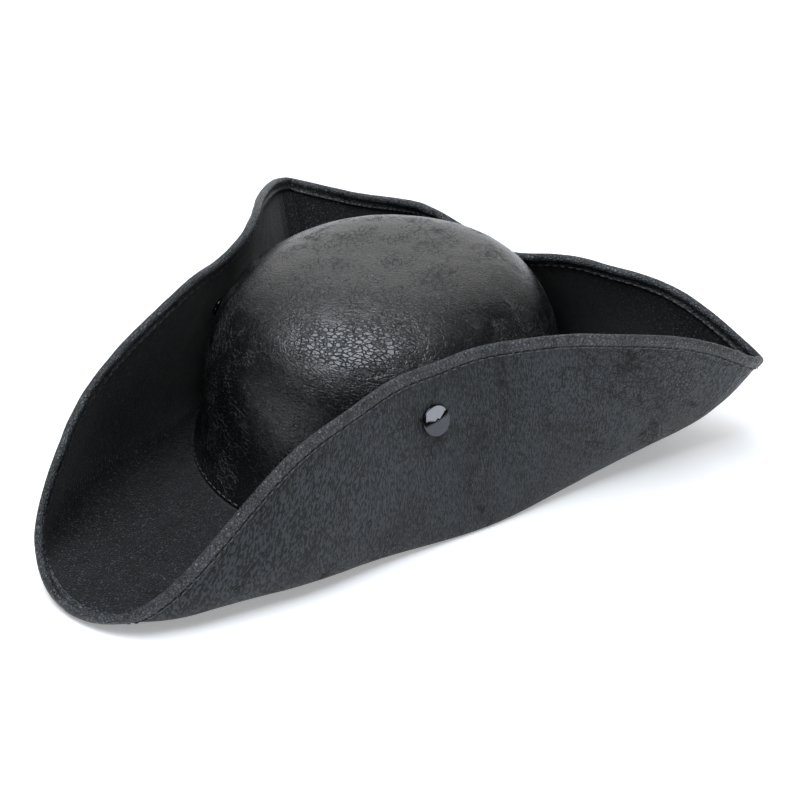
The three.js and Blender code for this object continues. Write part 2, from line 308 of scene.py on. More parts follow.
@dataclass(frozen=True)
class BrimTable:
    """The brim's sections, from the front round to the back, the same way on both sides.

    turn is 0 at the front, 1 at the rear corner and 2 at the back. reach is how far the rim lies
    outside the crown's foot and fold is how far out the brim turns up, both as shares of the
    brim's width. rise is the rim's height as a share of the flaps' height, and tight is how closely
    the section keeps to its fold.
    """

    columns: tuple[str, ...] = (
        "turn", "left_reach", "left_rise", "right_reach", "right_rise", "fold", "tight")
    rows: tuple[tuple[float, ...], ...] = (
        (0.00, 1.05, 0.04, 1.05, 0.04, 0.85, 0.80),
        (0.09, 0.95, 0.18, 0.94, 0.19, 0.94, 0.90),
        (0.18, 0.48, 0.72, 0.59, 0.60, 0.69, 0.92),
        (0.30, 0.12, 0.94, 0.08, 0.94, 0.32, 0.90),
        (0.48, -0.09, 0.97, -0.12, 0.98, 0.07, 0.84),
        (0.66, -0.01, 1.01, -0.12, 1.01, 0.06, 0.82),
        (0.82, 0.25, 0.96, 0.09, 0.95, 0.21, 0.82),
        (0.92, 0.59, 0.83, 0.43, 0.79, 0.39, 0.81),
        (1.00, 0.91, 0.51, 0.90, 0.55, 0.57, 0.77),
        (1.15, 0.59, 0.73, 0.56, 0.61, 0.50, 0.83),
        (1.45, 0.16, 0.82, 0.05, 0.82, 0.41, 0.87),
        (2.00, -0.09, 0.73, -0.09, 0.73, 0.33, 0.92),
    )
    corner_turn: float = 1.0
    corner_rounding: float = 0.012

    def column(self, name: str) -> np.ndarray:
        """One column of the table."""
        return np.array(self.rows)[:, self.columns.index(name)]

    def read(self, name: str, turn: np.ndarray) -> np.ndarray:
        """Reads a smooth curve through a column, bent sharply only at the rear corner.

        Args:
            name: The column.
            turn: Where to read it, folded back at the front and at the back.

        Returns:
            The column's value at each turn.
        """
        turns, values = self.column("turn"), self.column(name)
        corner = int(np.argmin(np.abs(turns - self.corner_turn)))
        steps = np.diff(turns)
        rates = np.diff(values) / steps
        before = np.zeros(len(turns))
        before[1:-1] = (rates[:-1] * steps[1:] + rates[1:] * steps[:-1]) / (steps[:-1] + steps[1:])
        after = before.copy()
        before[corner] = 2 * rates[corner - 1] - after[corner - 1]
        after[corner] = 2 * rates[corner] - before[corner + 1]
        at = np.minimum(np.abs(turn), 4 - np.abs(turn))
        high = np.clip(np.searchsorted(turns, at), 1, len(turns) - 1)
        low = high - 1
        step = turns[high] - turns[low]
        u = (at - turns[low]) / step
        return ((1 + 2 * u) * (1 - u) ** 2 * values[low] + u * (1 - u) ** 2 * step * after[low]
                + u * u * (3 - 2 * u) * values[high] + u * u * (u - 1) * step * before[high])

    def read_soft(self, name: str, turn: np.ndarray) -> np.ndarray:
        """A column's value, averaged over a short stretch so that the corners are rounded."""
        offsets = (-2, -1, 0, 1, 2)
        return sum(self.read(name, turn + k * self.corner_rounding) for k in offsets) / len(offsets)


@dataclass(frozen=True)
class BrimShape:
    """The brim's middle surface, one cubic curve for each section.

    A place on it is a loop, from 0 at the front through 2 at the back to 4 at the front again, by
    the wearer's left first, and a share of the section from the crown's foot out to the rim.
    """

    crown: CrownShape = field(default_factory=CrownShape)
    table: BrimTable = field(default_factory=BrimTable)
    width: float = 112 * MM
    wall: float = 1.8 * MM
    flap_height: float = 100 * MM
    foot_margin: float = 3 * MM
    left_corner: float = math.radians(129)
    right_corner: float = math.radians(119)
    rim_samples: int = 4000

    def side(self, loop: np.ndarray) -> tuple[np.ndarray, np.ndarray, np.ndarray]:
        """Splits a loop into its side and turn.

        Args:
            loop: Places round the brim.

        Returns:
            1 on the wearer's left and -1 on the right, the turn, and the angle from the front.
        """
        loop = np.mod(loop, 4)
        sign = np.where(loop <= 2, 1.0, -1.0)
        turn = np.where(loop <= 2, loop, 4 - loop)
        corner = np.where(sign > 0, self.left_corner, self.right_corner)
        angle = np.where(turn <= 1, turn * corner, corner + (turn - 1) * (math.pi - corner))
        return sign, turn, angle

    def point(self, loop: np.ndarray, share: np.ndarray) -> np.ndarray:
        """Places on the middle surface, with x, y and z along the last axis.

        Args:
            loop: Places round the brim.
            share: Shares of the section, from the foot to the rim.

        Returns:
            The places.
        """
        sign, turn, angle = self.side(loop)
        left = sign > 0
        foot = self.crown.foot_radius(angle)
        reach = np.where(left, self.table.read_soft("left_reach", turn),
                         self.table.read_soft("right_reach", turn))
        rise = np.where(left, self.table.read_soft("left_rise", turn),
                        self.table.read_soft("right_rise", turn))
        tight = self.table.read_soft("tight", turn)
        floor_level = self.wall / 2
        start = np.stack(np.broadcast_arrays(foot + self.foot_margin, floor_level), axis=-1)
        fold_out = start[..., 0] + self.table.read_soft("fold", turn) * self.width
        fold = np.stack(np.broadcast_arrays(fold_out, floor_level), axis=-1)
        rim = np.stack([foot + reach * self.width, rise * self.flap_height], axis=-1)
        first = start + (fold - start) * tight[..., None]
        second = rim + (fold - rim) * tight[..., None]
        u = np.asarray(share)[..., None]
        curve = ((1 - u) ** 3 * start + 3 * u * (1 - u) ** 2 * first
                 + 3 * u * u * (1 - u) * second + u ** 3 * rim)
        out, level = curve[..., 0], curve[..., 1]
        return np.stack([sign * out * np.sin(angle), -out * np.cos(angle), level], axis=-1)

    def directions(self, loop: np.ndarray, share: np.ndarray) -> tuple[np.ndarray, np.ndarray, np.ndarray]:
        """Directions of the middle surface.

        Args:
            loop: Places round the brim.
            share: Shares of the section, from the foot to the rim.

        Returns:
            Across it towards the rim and along it round the loop, both as rates, and the unit
            normal of the face that is the upper one where the brim lies flat.
        """
        step = 0.002
        low, high = np.maximum(share - step, 0), np.minimum(share + step, 1)
        across = (self.point(loop, high) - self.point(loop, low)) / (high - low)[..., None]
        along = (self.point(loop + step, share) - self.point(loop - step, share)) / (2 * step)
        normal = np.cross(across, along)
        return across, along, normal / np.linalg.norm(normal, axis=-1, keepdims=True)

    def rim(self) -> tuple[np.ndarray, np.ndarray]:
        """Loops and places closely along the rim, once round the hat."""
        loops = np.arange(self.rim_samples) * 4 / self.rim_samples
        return loops, self.point(loops, np.ones_like(loops))

    def stations(self, count: int, bend_length: float) -> np.ndarray:
        """Loops evenly along the rim, but closer together where it bends.

        Args:
            count: How many loops to give.
            bend_length: Length of rim that a bend of one radian counts for.

        Returns:
            The loops.
        """
        loops, places = self.rim()
        ahead = np.roll(places, -1, axis=0) - places
        length = np.linalg.norm(ahead, axis=1)
        heading = ahead / length[:, None]
        bend = np.linalg.norm(heading - np.roll(heading, 1, axis=0), axis=1)
        total = np.concatenate([[0], np.cumsum(length + bend_length * bend)])
        at = np.arange(count) * total[-1] / count
        return np.interp(at, total, np.append(loops, 4.0))

    def shares_from_rim(self, loops: np.ndarray, distances: np.ndarray) -> np.ndarray:
        """The shares at which sections lie given distances in from the rim.

        Args:
            loops: The sections.
            distances: Distances from the rim, in metres.

        Returns:
            A row for each section and a column for each distance.
        """
        places = self.rim()[1]
        tree = KDTree(len(places))
        for number, place in enumerate(places.tolist()):
            tree.insert(place, number)
        tree.balance()
        low = np.full((len(loops), len(distances)), 0.5)
        high = np.ones_like(low)
        for _ in range(16):
            middle = (low + high) / 2
            points = self.point(np.repeat(loops[:, None], len(distances), axis=1), middle)
            gap = np.array([tree.find(p)[2] for p in points.reshape(-1, 3).tolist()]).reshape(low.shape)
            within = gap > distances
            low = np.where(within, middle, low)
            high = np.where(within, high, middle)
        return high

    def section_lengths(self, loop: float, count: int = 400) -> tuple[np.ndarray, np.ndarray]:
        """Shares along one section and the length of the section up to each.

        Args:
            loop: The section.
            count: How many shares to give.

        Returns:
            The shares and the lengths.
        """
        shares = np.linspace(0, 1, count)
        points = self.point(np.full(count, loop), shares)
        steps = np.linalg.norm(np.diff(points, axis=0), axis=1)
        return shares, np.concatenate([[0], np.cumsum(steps)])


@dataclass(frozen=True)
class SnapSizes:
    """Sizes of the round snap studs that hold the flaps to the crown."""

    cap_radius: float = 8 * MM
    cap_thickness: float = 1.6 * MM
    cap_rise: float = 1.2 * MM
    collar_radius: float = 5 * MM
    shank_radius: float = 2 * MM
    rivet_radius: float = 4.5 * MM
    rivet_thickness: float = 1.2 * MM
    gap: float = 0.3 * MM
    press: float = 0.5 * MM


@dataclass(frozen=True)
class SnapSpot:
    """Where a snap is set: its side, its angle from the front and how far in from the rim it is.

    side is 1 for the wearer's left and -1 for the right.
    """

    side: int
    angle: float
    from_rim: float


SNAP_SPOTS = {
    "left": SnapSpot(1, math.radians(58.5), 28 * MM),
    "right": SnapSpot(-1, math.radians(62), 34 * MM),
    "back": SnapSpot(1, math.pi, 24 * MM),
}


@dataclass(frozen=True)
class SnapSeat:
    """Where a snap sits, with distances along its axis, which points out of the hat."""

    spot: np.ndarray
    axis: np.ndarray
    flap_outer: float
    flap_inner: float
    crown_outer: float
    crown_inner: float


@dataclass(frozen=True)
class SnapFinder:
    """Works out a snap's seat from the brim and the crown."""

    brim: BrimShape
    sizes: SnapSizes

    def seat(self, place: SnapSpot) -> SnapSeat:
        """Finds a snap's seat.

        Args:
            place: Where the snap is set.

        Returns:
            The seat.
        """
        corner = self.brim.left_corner if place.side > 0 else self.brim.right_corner
        angle = place.angle
        turn = angle / corner if angle <= corner else 1 + (angle - corner) / (math.pi - corner)
        loop = turn if place.side > 0 else 4 - turn
        shares, lengths = self.brim.section_lengths(loop)
        share = float(np.interp(lengths[-1] - place.from_rim, lengths, shares))
        here = np.array([loop]), np.array([share])
        spot = self.brim.point(*here)[0]
        across, along, normal = (direction[0] for direction in self.brim.directions(*here))
        axis = -normal
        return SnapSeat(
            spot, axis,
            self.flap_seat(loop, share, spot, axis, across, along, self.sizes.cap_radius, 1),
            self.flap_seat(loop, share, spot, axis, across, along, self.sizes.collar_radius, -1),
            self.crown_seat(spot, axis, self.sizes.collar_radius, 0.0, 1),
            self.crown_seat(spot, axis, self.sizes.rivet_radius, self.brim.crown.wall, -1),
        )

    def flap_seat(self, loop: float, share: float, spot: np.ndarray, axis: np.ndarray,
                  across: np.ndarray, along: np.ndarray, radius: float, direction: int) -> float:
        """How far along the axis the flap's face reaches inside a round seat, outwards or inwards.

        Args:
            loop: The snap's section.
            share: Its share of the section.
            spot: Its place on the middle surface.
            axis: Its axis, which points out of the hat.
            across: The surface's rate towards the rim.
            along: The surface's rate round the loop.
            radius: The seat's radius.
            direction: 1 for the outer face and -1 for the inner.

        Returns:
            The distance along the axis, with half the wall and the gap added.
        """
        spans = np.linspace(-1, 1, 9)
        loops = loop + spans[:, None] * radius / np.linalg.norm(along) + 0 * spans[None, :]
        shares = share + spans[None, :] * radius / np.linalg.norm(across) + 0 * spans[:, None]
        reach = (direction * ((self.brim.point(loops, shares) - spot) @ axis)).max()
        return direction * (max(reach, 0) + self.brim.wall / 2 + self.sizes.gap)

    def crown_seat(self, spot: np.ndarray, axis: np.ndarray, radius: float, inset: float,
                   direction: int) -> float:
        """Where along the axis a round seat just clears the crown, from outside it or inside it.

        Args:
            spot: The snap's place on the brim's middle surface.
            axis: Its axis, which points out of the hat.
            radius: The seat's radius.
            inset: How far inside the crown's outer face the face to clear lies.
            direction: 1 for a seat outside the crown and -1 for one inside it.

        Returns:
            The distance along the axis.
        """
        frame = np.array(Vector(axis).to_track_quat("Z", "Y").to_matrix())
        around = np.linspace(0, 2 * math.pi, 12, endpoint=False)
        rim = np.stack([radius * np.cos(around), radius * np.sin(around), 0 * around], axis=-1)
        distance = -self.brim.crown.half_width / 2 if direction > 0 else 0.0
        stride = 0.05 * MM
        while True:
            points = (rim + [0, 0, distance]) @ frame.T + spot
            angle = np.arctan2(points[:, 0], -points[:, 1])
            wall = self.brim.crown.wall_radius(angle, points[:, 2], inset)
            room = direction * (np.hypot(points[:, 0], points[:, 1]) - wall)
            if room.min() >= self.sizes.gap:
                return distance
            distance += direction * stride


# Finishes


PATTERN_MAP = "rolled_cloth"
# A Mix node's sockets for colours, which share their names with those for numbers
MIX_A, MIX_B, MIX_RESULT = 6, 7, 2


class PatternSpace(Enum):
    """What a leathercloth's pattern follows."""

    SOLID = "the piece's own place, for a moulded piece"
    ROLLED = "the cloth rolled round the hat, so that its knit runs up the flaps"


@dataclass(frozen=True)
class Pads:
    """The small cushions between a leathercloth's creases.

    They show fully where the cloth is rubbed, and by the share at_rest elsewhere. stretch and turn
    draw them out, and crease is the half width of a crease, as a share of a pad.
    """

    size: float
    depth: float
    at_rest: float
    crease: float = 0.17
    stretch: tuple[float, float, float] = (1.0, 1.0, 1.0)
    turn: tuple[float, float, float] = (0.0, 0.0, 0.0)


@dataclass(frozen=True)
class Streaks:
    """The courses of the knitted backing, which show through as short lines.

    along is the way that the lines run, and shade is how much they lighten the print.
    """

    width: float
    length: float
    along: tuple[float, float, float]
    depth: float
    shade: float


@dataclass(frozen=True)
class WearAndLight:
    """Where a leathercloth is rubbed: islands of one size, and one oval spot if it has one.

    reach gives the spot's half axes and turn_z turns them. The rubbed places lighten by bloom, and
    their cracks open by gape. In the oval spot that lightening is partly painted light.
    """

    island_size: float
    island_level: float
    spot: tuple[float, float, float] | None = None
    reach: tuple[float, float, float] = (30 * MM, 30 * MM, 30 * MM)
    turn_z: float = 0.0
    bloom: float = 0.0
    gape: float = 0.0


@dataclass(frozen=True)
class Leathercloth:
    """Polyurethane leathercloth on a knitted backing, with a printed and crushed crackle.

    It is satin black with a greyer bloom, small pads between creases, patchy open cracks, dark
    smudges where the print is thin, and pale specks of bare fibre.
    """

    name: str
    space: PatternSpace
    body: str
    bloom: str
    crack: str
    pads: Pads
    streaks: Streaks
    wear_and_light: WearAndLight
    grain_size: float
    grain_depth: float
    crack_size: float
    crack_share: float
    smudge_size: float
    smudge_share: float
    roughness: tuple[float, float, float]
    speck: str = "#5a5e63"
    speck_share: float = 0.0
    sheen: float = 0.0
    gloss: float = 0.5

    def build(self) -> bpy.types.Material:
        """Builds the material.

        Returns:
            The new material.
        """
        material = bpy.data.materials.new(self.name)
        material.use_nodes = True
        tree = material.node_tree
        tree.nodes.clear()
        source, place = self.pattern_places(tree)
        # The rubbed places and the oval spot, whose lightening is partly painted light
        worn_and_lit = self.worn_and_lit_places(tree, source, place)
        crease = self.creases(tree, place, worn_and_lit)
        streak = self.knit_streaks(tree, place)
        grain = add_node(tree, "ShaderNodeTexNoise", None,
                         {"Vector": place, "Scale": 1 / self.grain_size, "Detail": 2.0})
        crack = self.open_cracks(tree, place, worn_and_lit)
        smudge_noise = add_node(tree, "ShaderNodeTexNoise", None,
                                {"Vector": place, "Scale": 1 / self.smudge_size, "Detail": 5.0,
                                 "Roughness": 0.62, "Distortion": 0.6})
        smudge = add_node(tree, "ShaderNodeMapRange", {"interpolation_type": "SMOOTHSTEP"},
                          {"Value": smudge_noise.outputs[0], "From Min": 0.62 - self.smudge_share,
                           "From Max": 0.74, "To Max": 0.8})
        cloth = self.print_colour(tree, place, worn_and_lit, streak, grain)
        marks = add_node(tree, "ShaderNodeMath", {"operation": "ADD", "use_clamp": True},
                         {0: crease.outputs[0], 1: crack.outputs[0]})
        dark = add_node(tree, "ShaderNodeMath", {"operation": "MULTIPLY_ADD", "use_clamp": True},
                        {0: marks.outputs[0], 1: 0.8, 2: smudge.outputs[0]})
        colour = add_node(tree, "ShaderNodeMix", {"data_type": "RGBA"},
                          {"Factor": dark.outputs[0], MIX_A: cloth, MIX_B: linear_colour(self.crack)})
        rubbed, plain, creased = self.roughness
        polish = add_node(tree, "ShaderNodeMapRange", None,
                          {"Value": worn_and_lit, "To Min": plain, "To Max": rubbed})
        roughness = add_node(tree, "ShaderNodeMapRange", None,
                             {"Value": dark.outputs[0], "To Min": polish.outputs[0], "To Max": creased})
        shader = add_node(tree, "ShaderNodeBsdfPrincipled", None,
                          {"Base Color": colour.outputs[MIX_RESULT], "Roughness": roughness.outputs[0],
                           "IOR": 1.5, "Specular IOR Level": self.gloss,
                           "Sheen Weight": self.sheen, "Sheen Roughness": 0.45,
                           "Normal": self.relief(tree, marks, streak, grain, smudge)})
        add_node(tree, "ShaderNodeOutputMaterial", None, {"Surface": shader.outputs[0]})
        return material

    def pattern_places(self, tree: bpy.types.NodeTree) -> tuple[bpy.types.NodeSocket, bpy.types.NodeSocket]:
        """Adds the places that the pattern follows.

        Args:
            tree: The material's tree.

        Returns:
            The exact place and a slightly wandering one.
        """
        if self.space is PatternSpace.ROLLED:
            source = add_node(tree, "ShaderNodeAttribute", {
                "attribute_type": "GEOMETRY", "attribute_name": PATTERN_MAP}).outputs["Vector"]
        else:
            source = add_node(tree, "ShaderNodeTexCoord").outputs["Object"]
        drift = add_node(tree, "ShaderNodeTexNoise", None,
                         {"Vector": source, "Scale": 1 / (3 * self.pads.size), "Detail": 2.0})
        centred = add_node(tree, "ShaderNodeVectorMath", {"operation": "SUBTRACT"},
                           {0: drift.outputs["Color"], 1: (0.5, 0.5, 0.5)})
        place = add_node(tree, "ShaderNodeVectorMath", {"operation": "MULTIPLY_ADD"},
                         {0: centred.outputs[0], 1: (1.2 * self.pads.size,) * 3, 2: source})
        return source, place.outputs[0]

    def worn_and_lit_places(self, tree: bpy.types.NodeTree, source: bpy.types.NodeSocket,
                    place: bpy.types.NodeSocket) -> bpy.types.NodeSocket:
        """Adds the mask of the rubbed places and of the oval spot, whose lightening is partly painted
        light.

        Args:
            tree: The material's tree.
            source: The exact place, for the oval spot.
            place: Where the pattern is read.

        Returns:
            A mask that is 1 where the cloth is rubbed and in the oval spot.
        """
        islands = add_node(tree, "ShaderNodeTexNoise", None,
                           {"Vector": place, "Scale": 1 / self.wear_and_light.island_size, "Detail": 4.0,
                            "Roughness": 0.6})
        worn_and_lit = add_node(tree, "ShaderNodeMapRange", {"interpolation_type": "SMOOTHSTEP"},
                        {"Value": islands.outputs[0], "From Min": self.wear_and_light.island_level,
                         "From Max": self.wear_and_light.island_level + 0.1})
        if self.wear_and_light.spot is None:
            return worn_and_lit.outputs[0]
        centred = add_node(tree, "ShaderNodeMapping", {"vector_type": "TEXTURE"},
                           {"Vector": source, "Location": self.wear_and_light.spot,
                            "Rotation": (0, 0, self.wear_and_light.turn_z), "Scale": self.wear_and_light.reach})
        away = add_node(tree, "ShaderNodeVectorMath", {"operation": "LENGTH"}, {0: centred.outputs[0]})
        ragged = add_node(tree, "ShaderNodeMath", {"operation": "MULTIPLY_ADD"},
                          {0: islands.outputs[0], 1: -1.6, 2: away.outputs["Value"]})
        # The oval spot is wear, and the lightening that it brings is partly painted light
        spot = add_node(tree, "ShaderNodeMapRange", {"interpolation_type": "SMOOTHSTEP"},
                        {"Value": ragged.outputs[0], "From Min": -0.1, "From Max": 0.35,
                         "To Min": 1.0, "To Max": 0.0})
        both = add_node(tree, "ShaderNodeMath", {"operation": "MAXIMUM"},
                        {0: worn_and_lit.outputs[0], 1: spot.outputs[0]})
        return both.outputs[0]

    def creases(self, tree: bpy.types.NodeTree, place: bpy.types.NodeSocket,
                worn_and_lit: bpy.types.NodeSocket) -> bpy.types.Node:
        """Adds the creases between the pads.

        Args:
            tree: The material's tree.
            place: Where the pattern is read.
            worn_and_lit: The mask of the rubbed places and the oval spot.

        Returns:
            A node whose first output is 1 in a crease.
        """
        laid = add_node(tree, "ShaderNodeMapping", {"vector_type": "TEXTURE"},
                        {"Vector": place, "Rotation": self.pads.turn,
                         "Scale": tuple(self.pads.size * s for s in self.pads.stretch)})
        net = add_node(tree, "ShaderNodeTexVoronoi", {"feature": "DISTANCE_TO_EDGE"},
                       {"Vector": laid.outputs[0], "Scale": 1.0, "Randomness": 1.0})
        depth = add_node(tree, "ShaderNodeMapRange", None,
                         {"Value": worn_and_lit, "To Min": self.pads.at_rest, "To Max": 1.0})
        return add_node(tree, "ShaderNodeMapRange", {"interpolation_type": "SMOOTHSTEP"},
                        {"Value": net.outputs["Distance"], "From Max": self.pads.crease,
                         "To Min": depth.outputs[0], "To Max": 0.0})

    def knit_streaks(self, tree: bpy.types.NodeTree, place: bpy.types.NodeSocket) -> bpy.types.Node:
        """Adds the courses of the backing.

        Args:
            tree: The material's tree.
            place: Where the pattern is read.

        Returns:
            A node whose first output is 1 on a line and 0 between two.
        """
        turn = Vector(self.streaks.along).to_track_quat("Z", "Y").to_euler()
        laid = add_node(tree, "ShaderNodeMapping", {"vector_type": "TEXTURE"},
                        {"Vector": place, "Rotation": turn,
                         "Scale": (self.streaks.width, self.streaks.width, self.streaks.length)})
        lines = add_node(tree, "ShaderNodeTexNoise", None,
                         {"Vector": laid.outputs[0], "Scale": 1.0, "Detail": 1.0})
        return add_node(tree, "ShaderNodeMapRange", {"interpolation_type": "SMOOTHSTEP"},
                        {"Value": lines.outputs[0], "From Min": 0.38, "From Max": 0.62})

    def print_colour(self, tree: bpy.types.NodeTree, place: bpy.types.NodeSocket,
                     worn_and_lit: bpy.types.NodeSocket, streak: bpy.types.Node,
                     grain: bpy.types.Node) -> bpy.types.NodeSocket:
        """Adds the print's colour: its body, its bloom, the streaks in it and the pale specks.

        Args:
            tree: The material's tree.
            place: Where the pattern is read.
            worn_and_lit: The mask of the rubbed places and the oval spot, whose lightening is partly
                painted light.
            streak: The node of the backing's courses.
            grain: The node of the grain.

        Returns:
            The colour.
        """
        bloom_noise = add_node(tree, "ShaderNodeTexNoise", None,
                               {"Vector": place, "Scale": 1 / (2.4 * self.smudge_size), "Detail": 7.0,
                                "Roughness": 0.72})
        bloom = add_node(tree, "ShaderNodeMapRange", None,
                         {"Value": bloom_noise.outputs[0], "From Min": 0.36, "From Max": 0.66})
        lines = add_node(tree, "ShaderNodeMapRange", None,
                         {"Value": streak.outputs[0],
                          "To Min": -self.streaks.shade, "To Max": self.streaks.shade})
        # Lightens by the wear's bloom; in the oval spot this lightening is partly painted light
        rubbed = add_node(tree, "ShaderNodeMath", {"operation": "MULTIPLY_ADD"},
                          {0: worn_and_lit, 1: self.wear_and_light.bloom, 2: lines.outputs[0]})
        lit = add_node(tree, "ShaderNodeMath", {"operation": "ADD", "use_clamp": True},
                       {0: bloom.outputs[0], 1: rubbed.outputs[0]})
        cloth = add_node(tree, "ShaderNodeMix", {"data_type": "RGBA"},
                         {"Factor": lit.outputs[0], MIX_A: linear_colour(self.body),
                          MIX_B: linear_colour(self.bloom)})
        if not self.speck_share:
            return cloth.outputs[MIX_RESULT]
        specks = add_node(tree, "ShaderNodeMapRange", {"interpolation_type": "SMOOTHSTEP"},
                          {"Value": grain.outputs[0], "From Min": 0.68 - self.speck_share,
                           "From Max": 0.76 - self.speck_share})
        return add_node(tree, "ShaderNodeMix", {"data_type": "RGBA"},
                        {"Factor": specks.outputs[0], MIX_A: cloth.outputs[MIX_RESULT],
                         MIX_B: linear_colour(self.speck)}).outputs[MIX_RESULT]

    def open_cracks(self, tree: bpy.types.NodeTree, place: bpy.types.NodeSocket,
                    worn_and_lit: bpy.types.NodeSocket) -> bpy.types.Node:
        """Adds branching cracks that open only in patches.

        Args:
            tree: The material's tree.
            place: Where the pattern is read.
            worn_and_lit: The mask of the rubbed places and the oval spot.

        Returns:
            A node whose first output is 1 in a crack.
        """
        bent = add_node(tree, "ShaderNodeTexNoise", None,
                        {"Vector": place, "Scale": 1 / (0.8 * self.crack_size), "Detail": 4.0})
        centred = add_node(tree, "ShaderNodeVectorMath", {"operation": "SUBTRACT"},
                           {0: bent.outputs["Color"], 1: (0.5, 0.5, 0.5)})
        crooked = add_node(tree, "ShaderNodeVectorMath", {"operation": "MULTIPLY_ADD"},
                           {0: centred.outputs[0], 1: (0.9 * self.crack_size,) * 3, 2: place})
        net = add_node(tree, "ShaderNodeTexVoronoi", {"feature": "DISTANCE_TO_EDGE"},
                       {"Vector": crooked.outputs[0], "Scale": 1 / self.crack_size})
        patch = add_node(tree, "ShaderNodeTexNoise", None,
                         {"Vector": place, "Scale": 1 / (3.5 * self.crack_size), "Detail": 3.0})
        width = add_node(tree, "ShaderNodeMapRange", None,
                         {"Value": patch.outputs[0], "From Min": 0.60 - self.crack_share,
                          "From Max": 0.75, "To Min": 0.001, "To Max": 0.16})
        wide = add_node(tree, "ShaderNodeMath", {"operation": "MULTIPLY_ADD"},
                        {0: worn_and_lit, 1: self.wear_and_light.gape, 2: width.outputs[0]})
        return add_node(tree, "ShaderNodeMapRange", {"interpolation_type": "SMOOTHSTEP"},
                        {"Value": net.outputs["Distance"], "From Max": wide.outputs[0],
                         "To Min": 1.0, "To Max": 0.0})

    def relief(self, tree: bpy.types.NodeTree, marks: bpy.types.Node, streak: bpy.types.Node,
               grain: bpy.types.Node, smudge: bpy.types.Node) -> bpy.types.NodeSocket:
        """Adds the bump of the creases and cracks, the streaks, and the grain, coarser in smudges.

        Args:
            tree: The material's tree.
            marks: The node of the creases and cracks.
            streak: The node of the backing's courses.
            grain: The node of the grain.
            smudge: The node of the smudges.

        Returns:
            The bumped normal.
        """
        sunk = add_node(tree, "ShaderNodeBump", {"invert": True},
                        {"Height": marks.outputs[0], "Distance": self.pads.depth, "Strength": 1.0})
        lined = add_node(tree, "ShaderNodeBump", None,
                         {"Height": streak.outputs[0], "Distance": self.streaks.depth,
                          "Strength": 1.0, "Normal": sunk.outputs[0]})
        coarser = add_node(tree, "ShaderNodeMapRange", None,
                           {"Value": smudge.outputs[0], "To Min": 0.8, "To Max": 2.2})
        rough = add_node(tree, "ShaderNodeMath", {"operation": "MULTIPLY"},
                         {0: grain.outputs[0], 1: coarser.outputs[0]})
        grained = add_node(tree, "ShaderNodeBump", None,
                           {"Height": rough.outputs[0], "Distance": self.grain_depth,
                            "Strength": 1.0, "Normal": lined.outputs[0]})
        return grained.outputs[0]


def crown_leather() -> bpy.types.Material:
    """Leathercloth pressed over a block, which spreads its pads and polishes it on one shoulder.

    Returns:
        The new material.
    """
    return Leathercloth(
        name="leathercloth_moulded", space=PatternSpace.SOLID,
        body="#040405", bloom="#131415", crack="#010102",
        pads=Pads(size=1.7 * MM, depth=0.36 * MM, at_rest=0.12, crease=0.13,
                  stretch=(2.1, 1.2, 1.0), turn=(0, 0, math.radians(30))),
        streaks=Streaks(width=0.8 * MM, length=5.5 * MM, along=(0.74, 0.47, -0.48),
                        depth=0.05 * MM, shade=0.3),
        # The oval spot on the front shoulder is wear, and its bloom lightening there is partly a painted
        # highlight
        wear_and_light=WearAndLight(island_size=22 * MM, island_level=0.62,
                  spot=(34 * MM, -60 * MM, 96 * MM), reach=(46 * MM, 24 * MM, 11 * MM),
                  turn_z=math.radians(43), bloom=0.9),
        grain_size=0.9 * MM, grain_depth=0.11 * MM,
        crack_size=3.5 * MM, crack_share=0.15, smudge_size=12 * MM, smudge_share=0.10,
        roughness=(0.17, 0.27, 0.6), gloss=0.66,
    ).build()


def flap_leather() -> bpy.types.Material:
    """Leathercloth on the flaps' outer faces, whose knit shows through as short upright streaks.

    Returns:
        The new material.
    """
    return Leathercloth(
        name="leathercloth_knit", space=PatternSpace.ROLLED,
        body="#060708", bloom="#33373b", crack="#030405",
        pads=Pads(size=1.4 * MM, depth=0.26 * MM, at_rest=0.3, stretch=(1.0, 1.0, 1.3)),
        streaks=Streaks(width=0.75 * MM, length=2.6 * MM, along=(0, 0, 1),
                        depth=0.20 * MM, shade=0.75),
        # The oval spot high on the wearer's left flap is wear, and its bloom lightening is partly a painted
        # sheen
        wear_and_light=WearAndLight(island_size=30 * MM, island_level=0.56,
                  spot=(139 * MM, 55 * MM, 196 * MM), bloom=0.65, gape=0.08),
        grain_size=0.8 * MM, grain_depth=0.24 * MM,
        crack_size=7 * MM, crack_share=0.04, smudge_size=15 * MM, smudge_share=0.05,
        roughness=(0.30, 0.44, 0.7), sheen=0.02, gloss=0.28,
    ).build()


def brim_suede() -> bpy.types.Material:
    """The brim's upper face, a matte black cloth with a salt and pepper grain.

    Returns:
        The new material.
    """
    return Leathercloth(
        name="suedecloth_matte", space=PatternSpace.ROLLED,
        body="#080909", bloom="#1a1b1c", crack="#030304",
        pads=Pads(size=1.5 * MM, depth=0.08 * MM, at_rest=0.2),
        streaks=Streaks(width=0.7 * MM, length=1.4 * MM, along=(0, 0, 1),
                        depth=0.08 * MM, shade=0.5),
        wear_and_light=WearAndLight(island_size=40 * MM, island_level=0.60),
        grain_size=0.75 * MM, grain_depth=0.34 * MM,
        crack_size=9 * MM, crack_share=-0.06, smudge_size=22 * MM, smudge_share=0.0,
        roughness=(0.6, 0.68, 0.8), speck="#4c5055", speck_share=0.08, sheen=0.22, gloss=0.12,
    ).build()


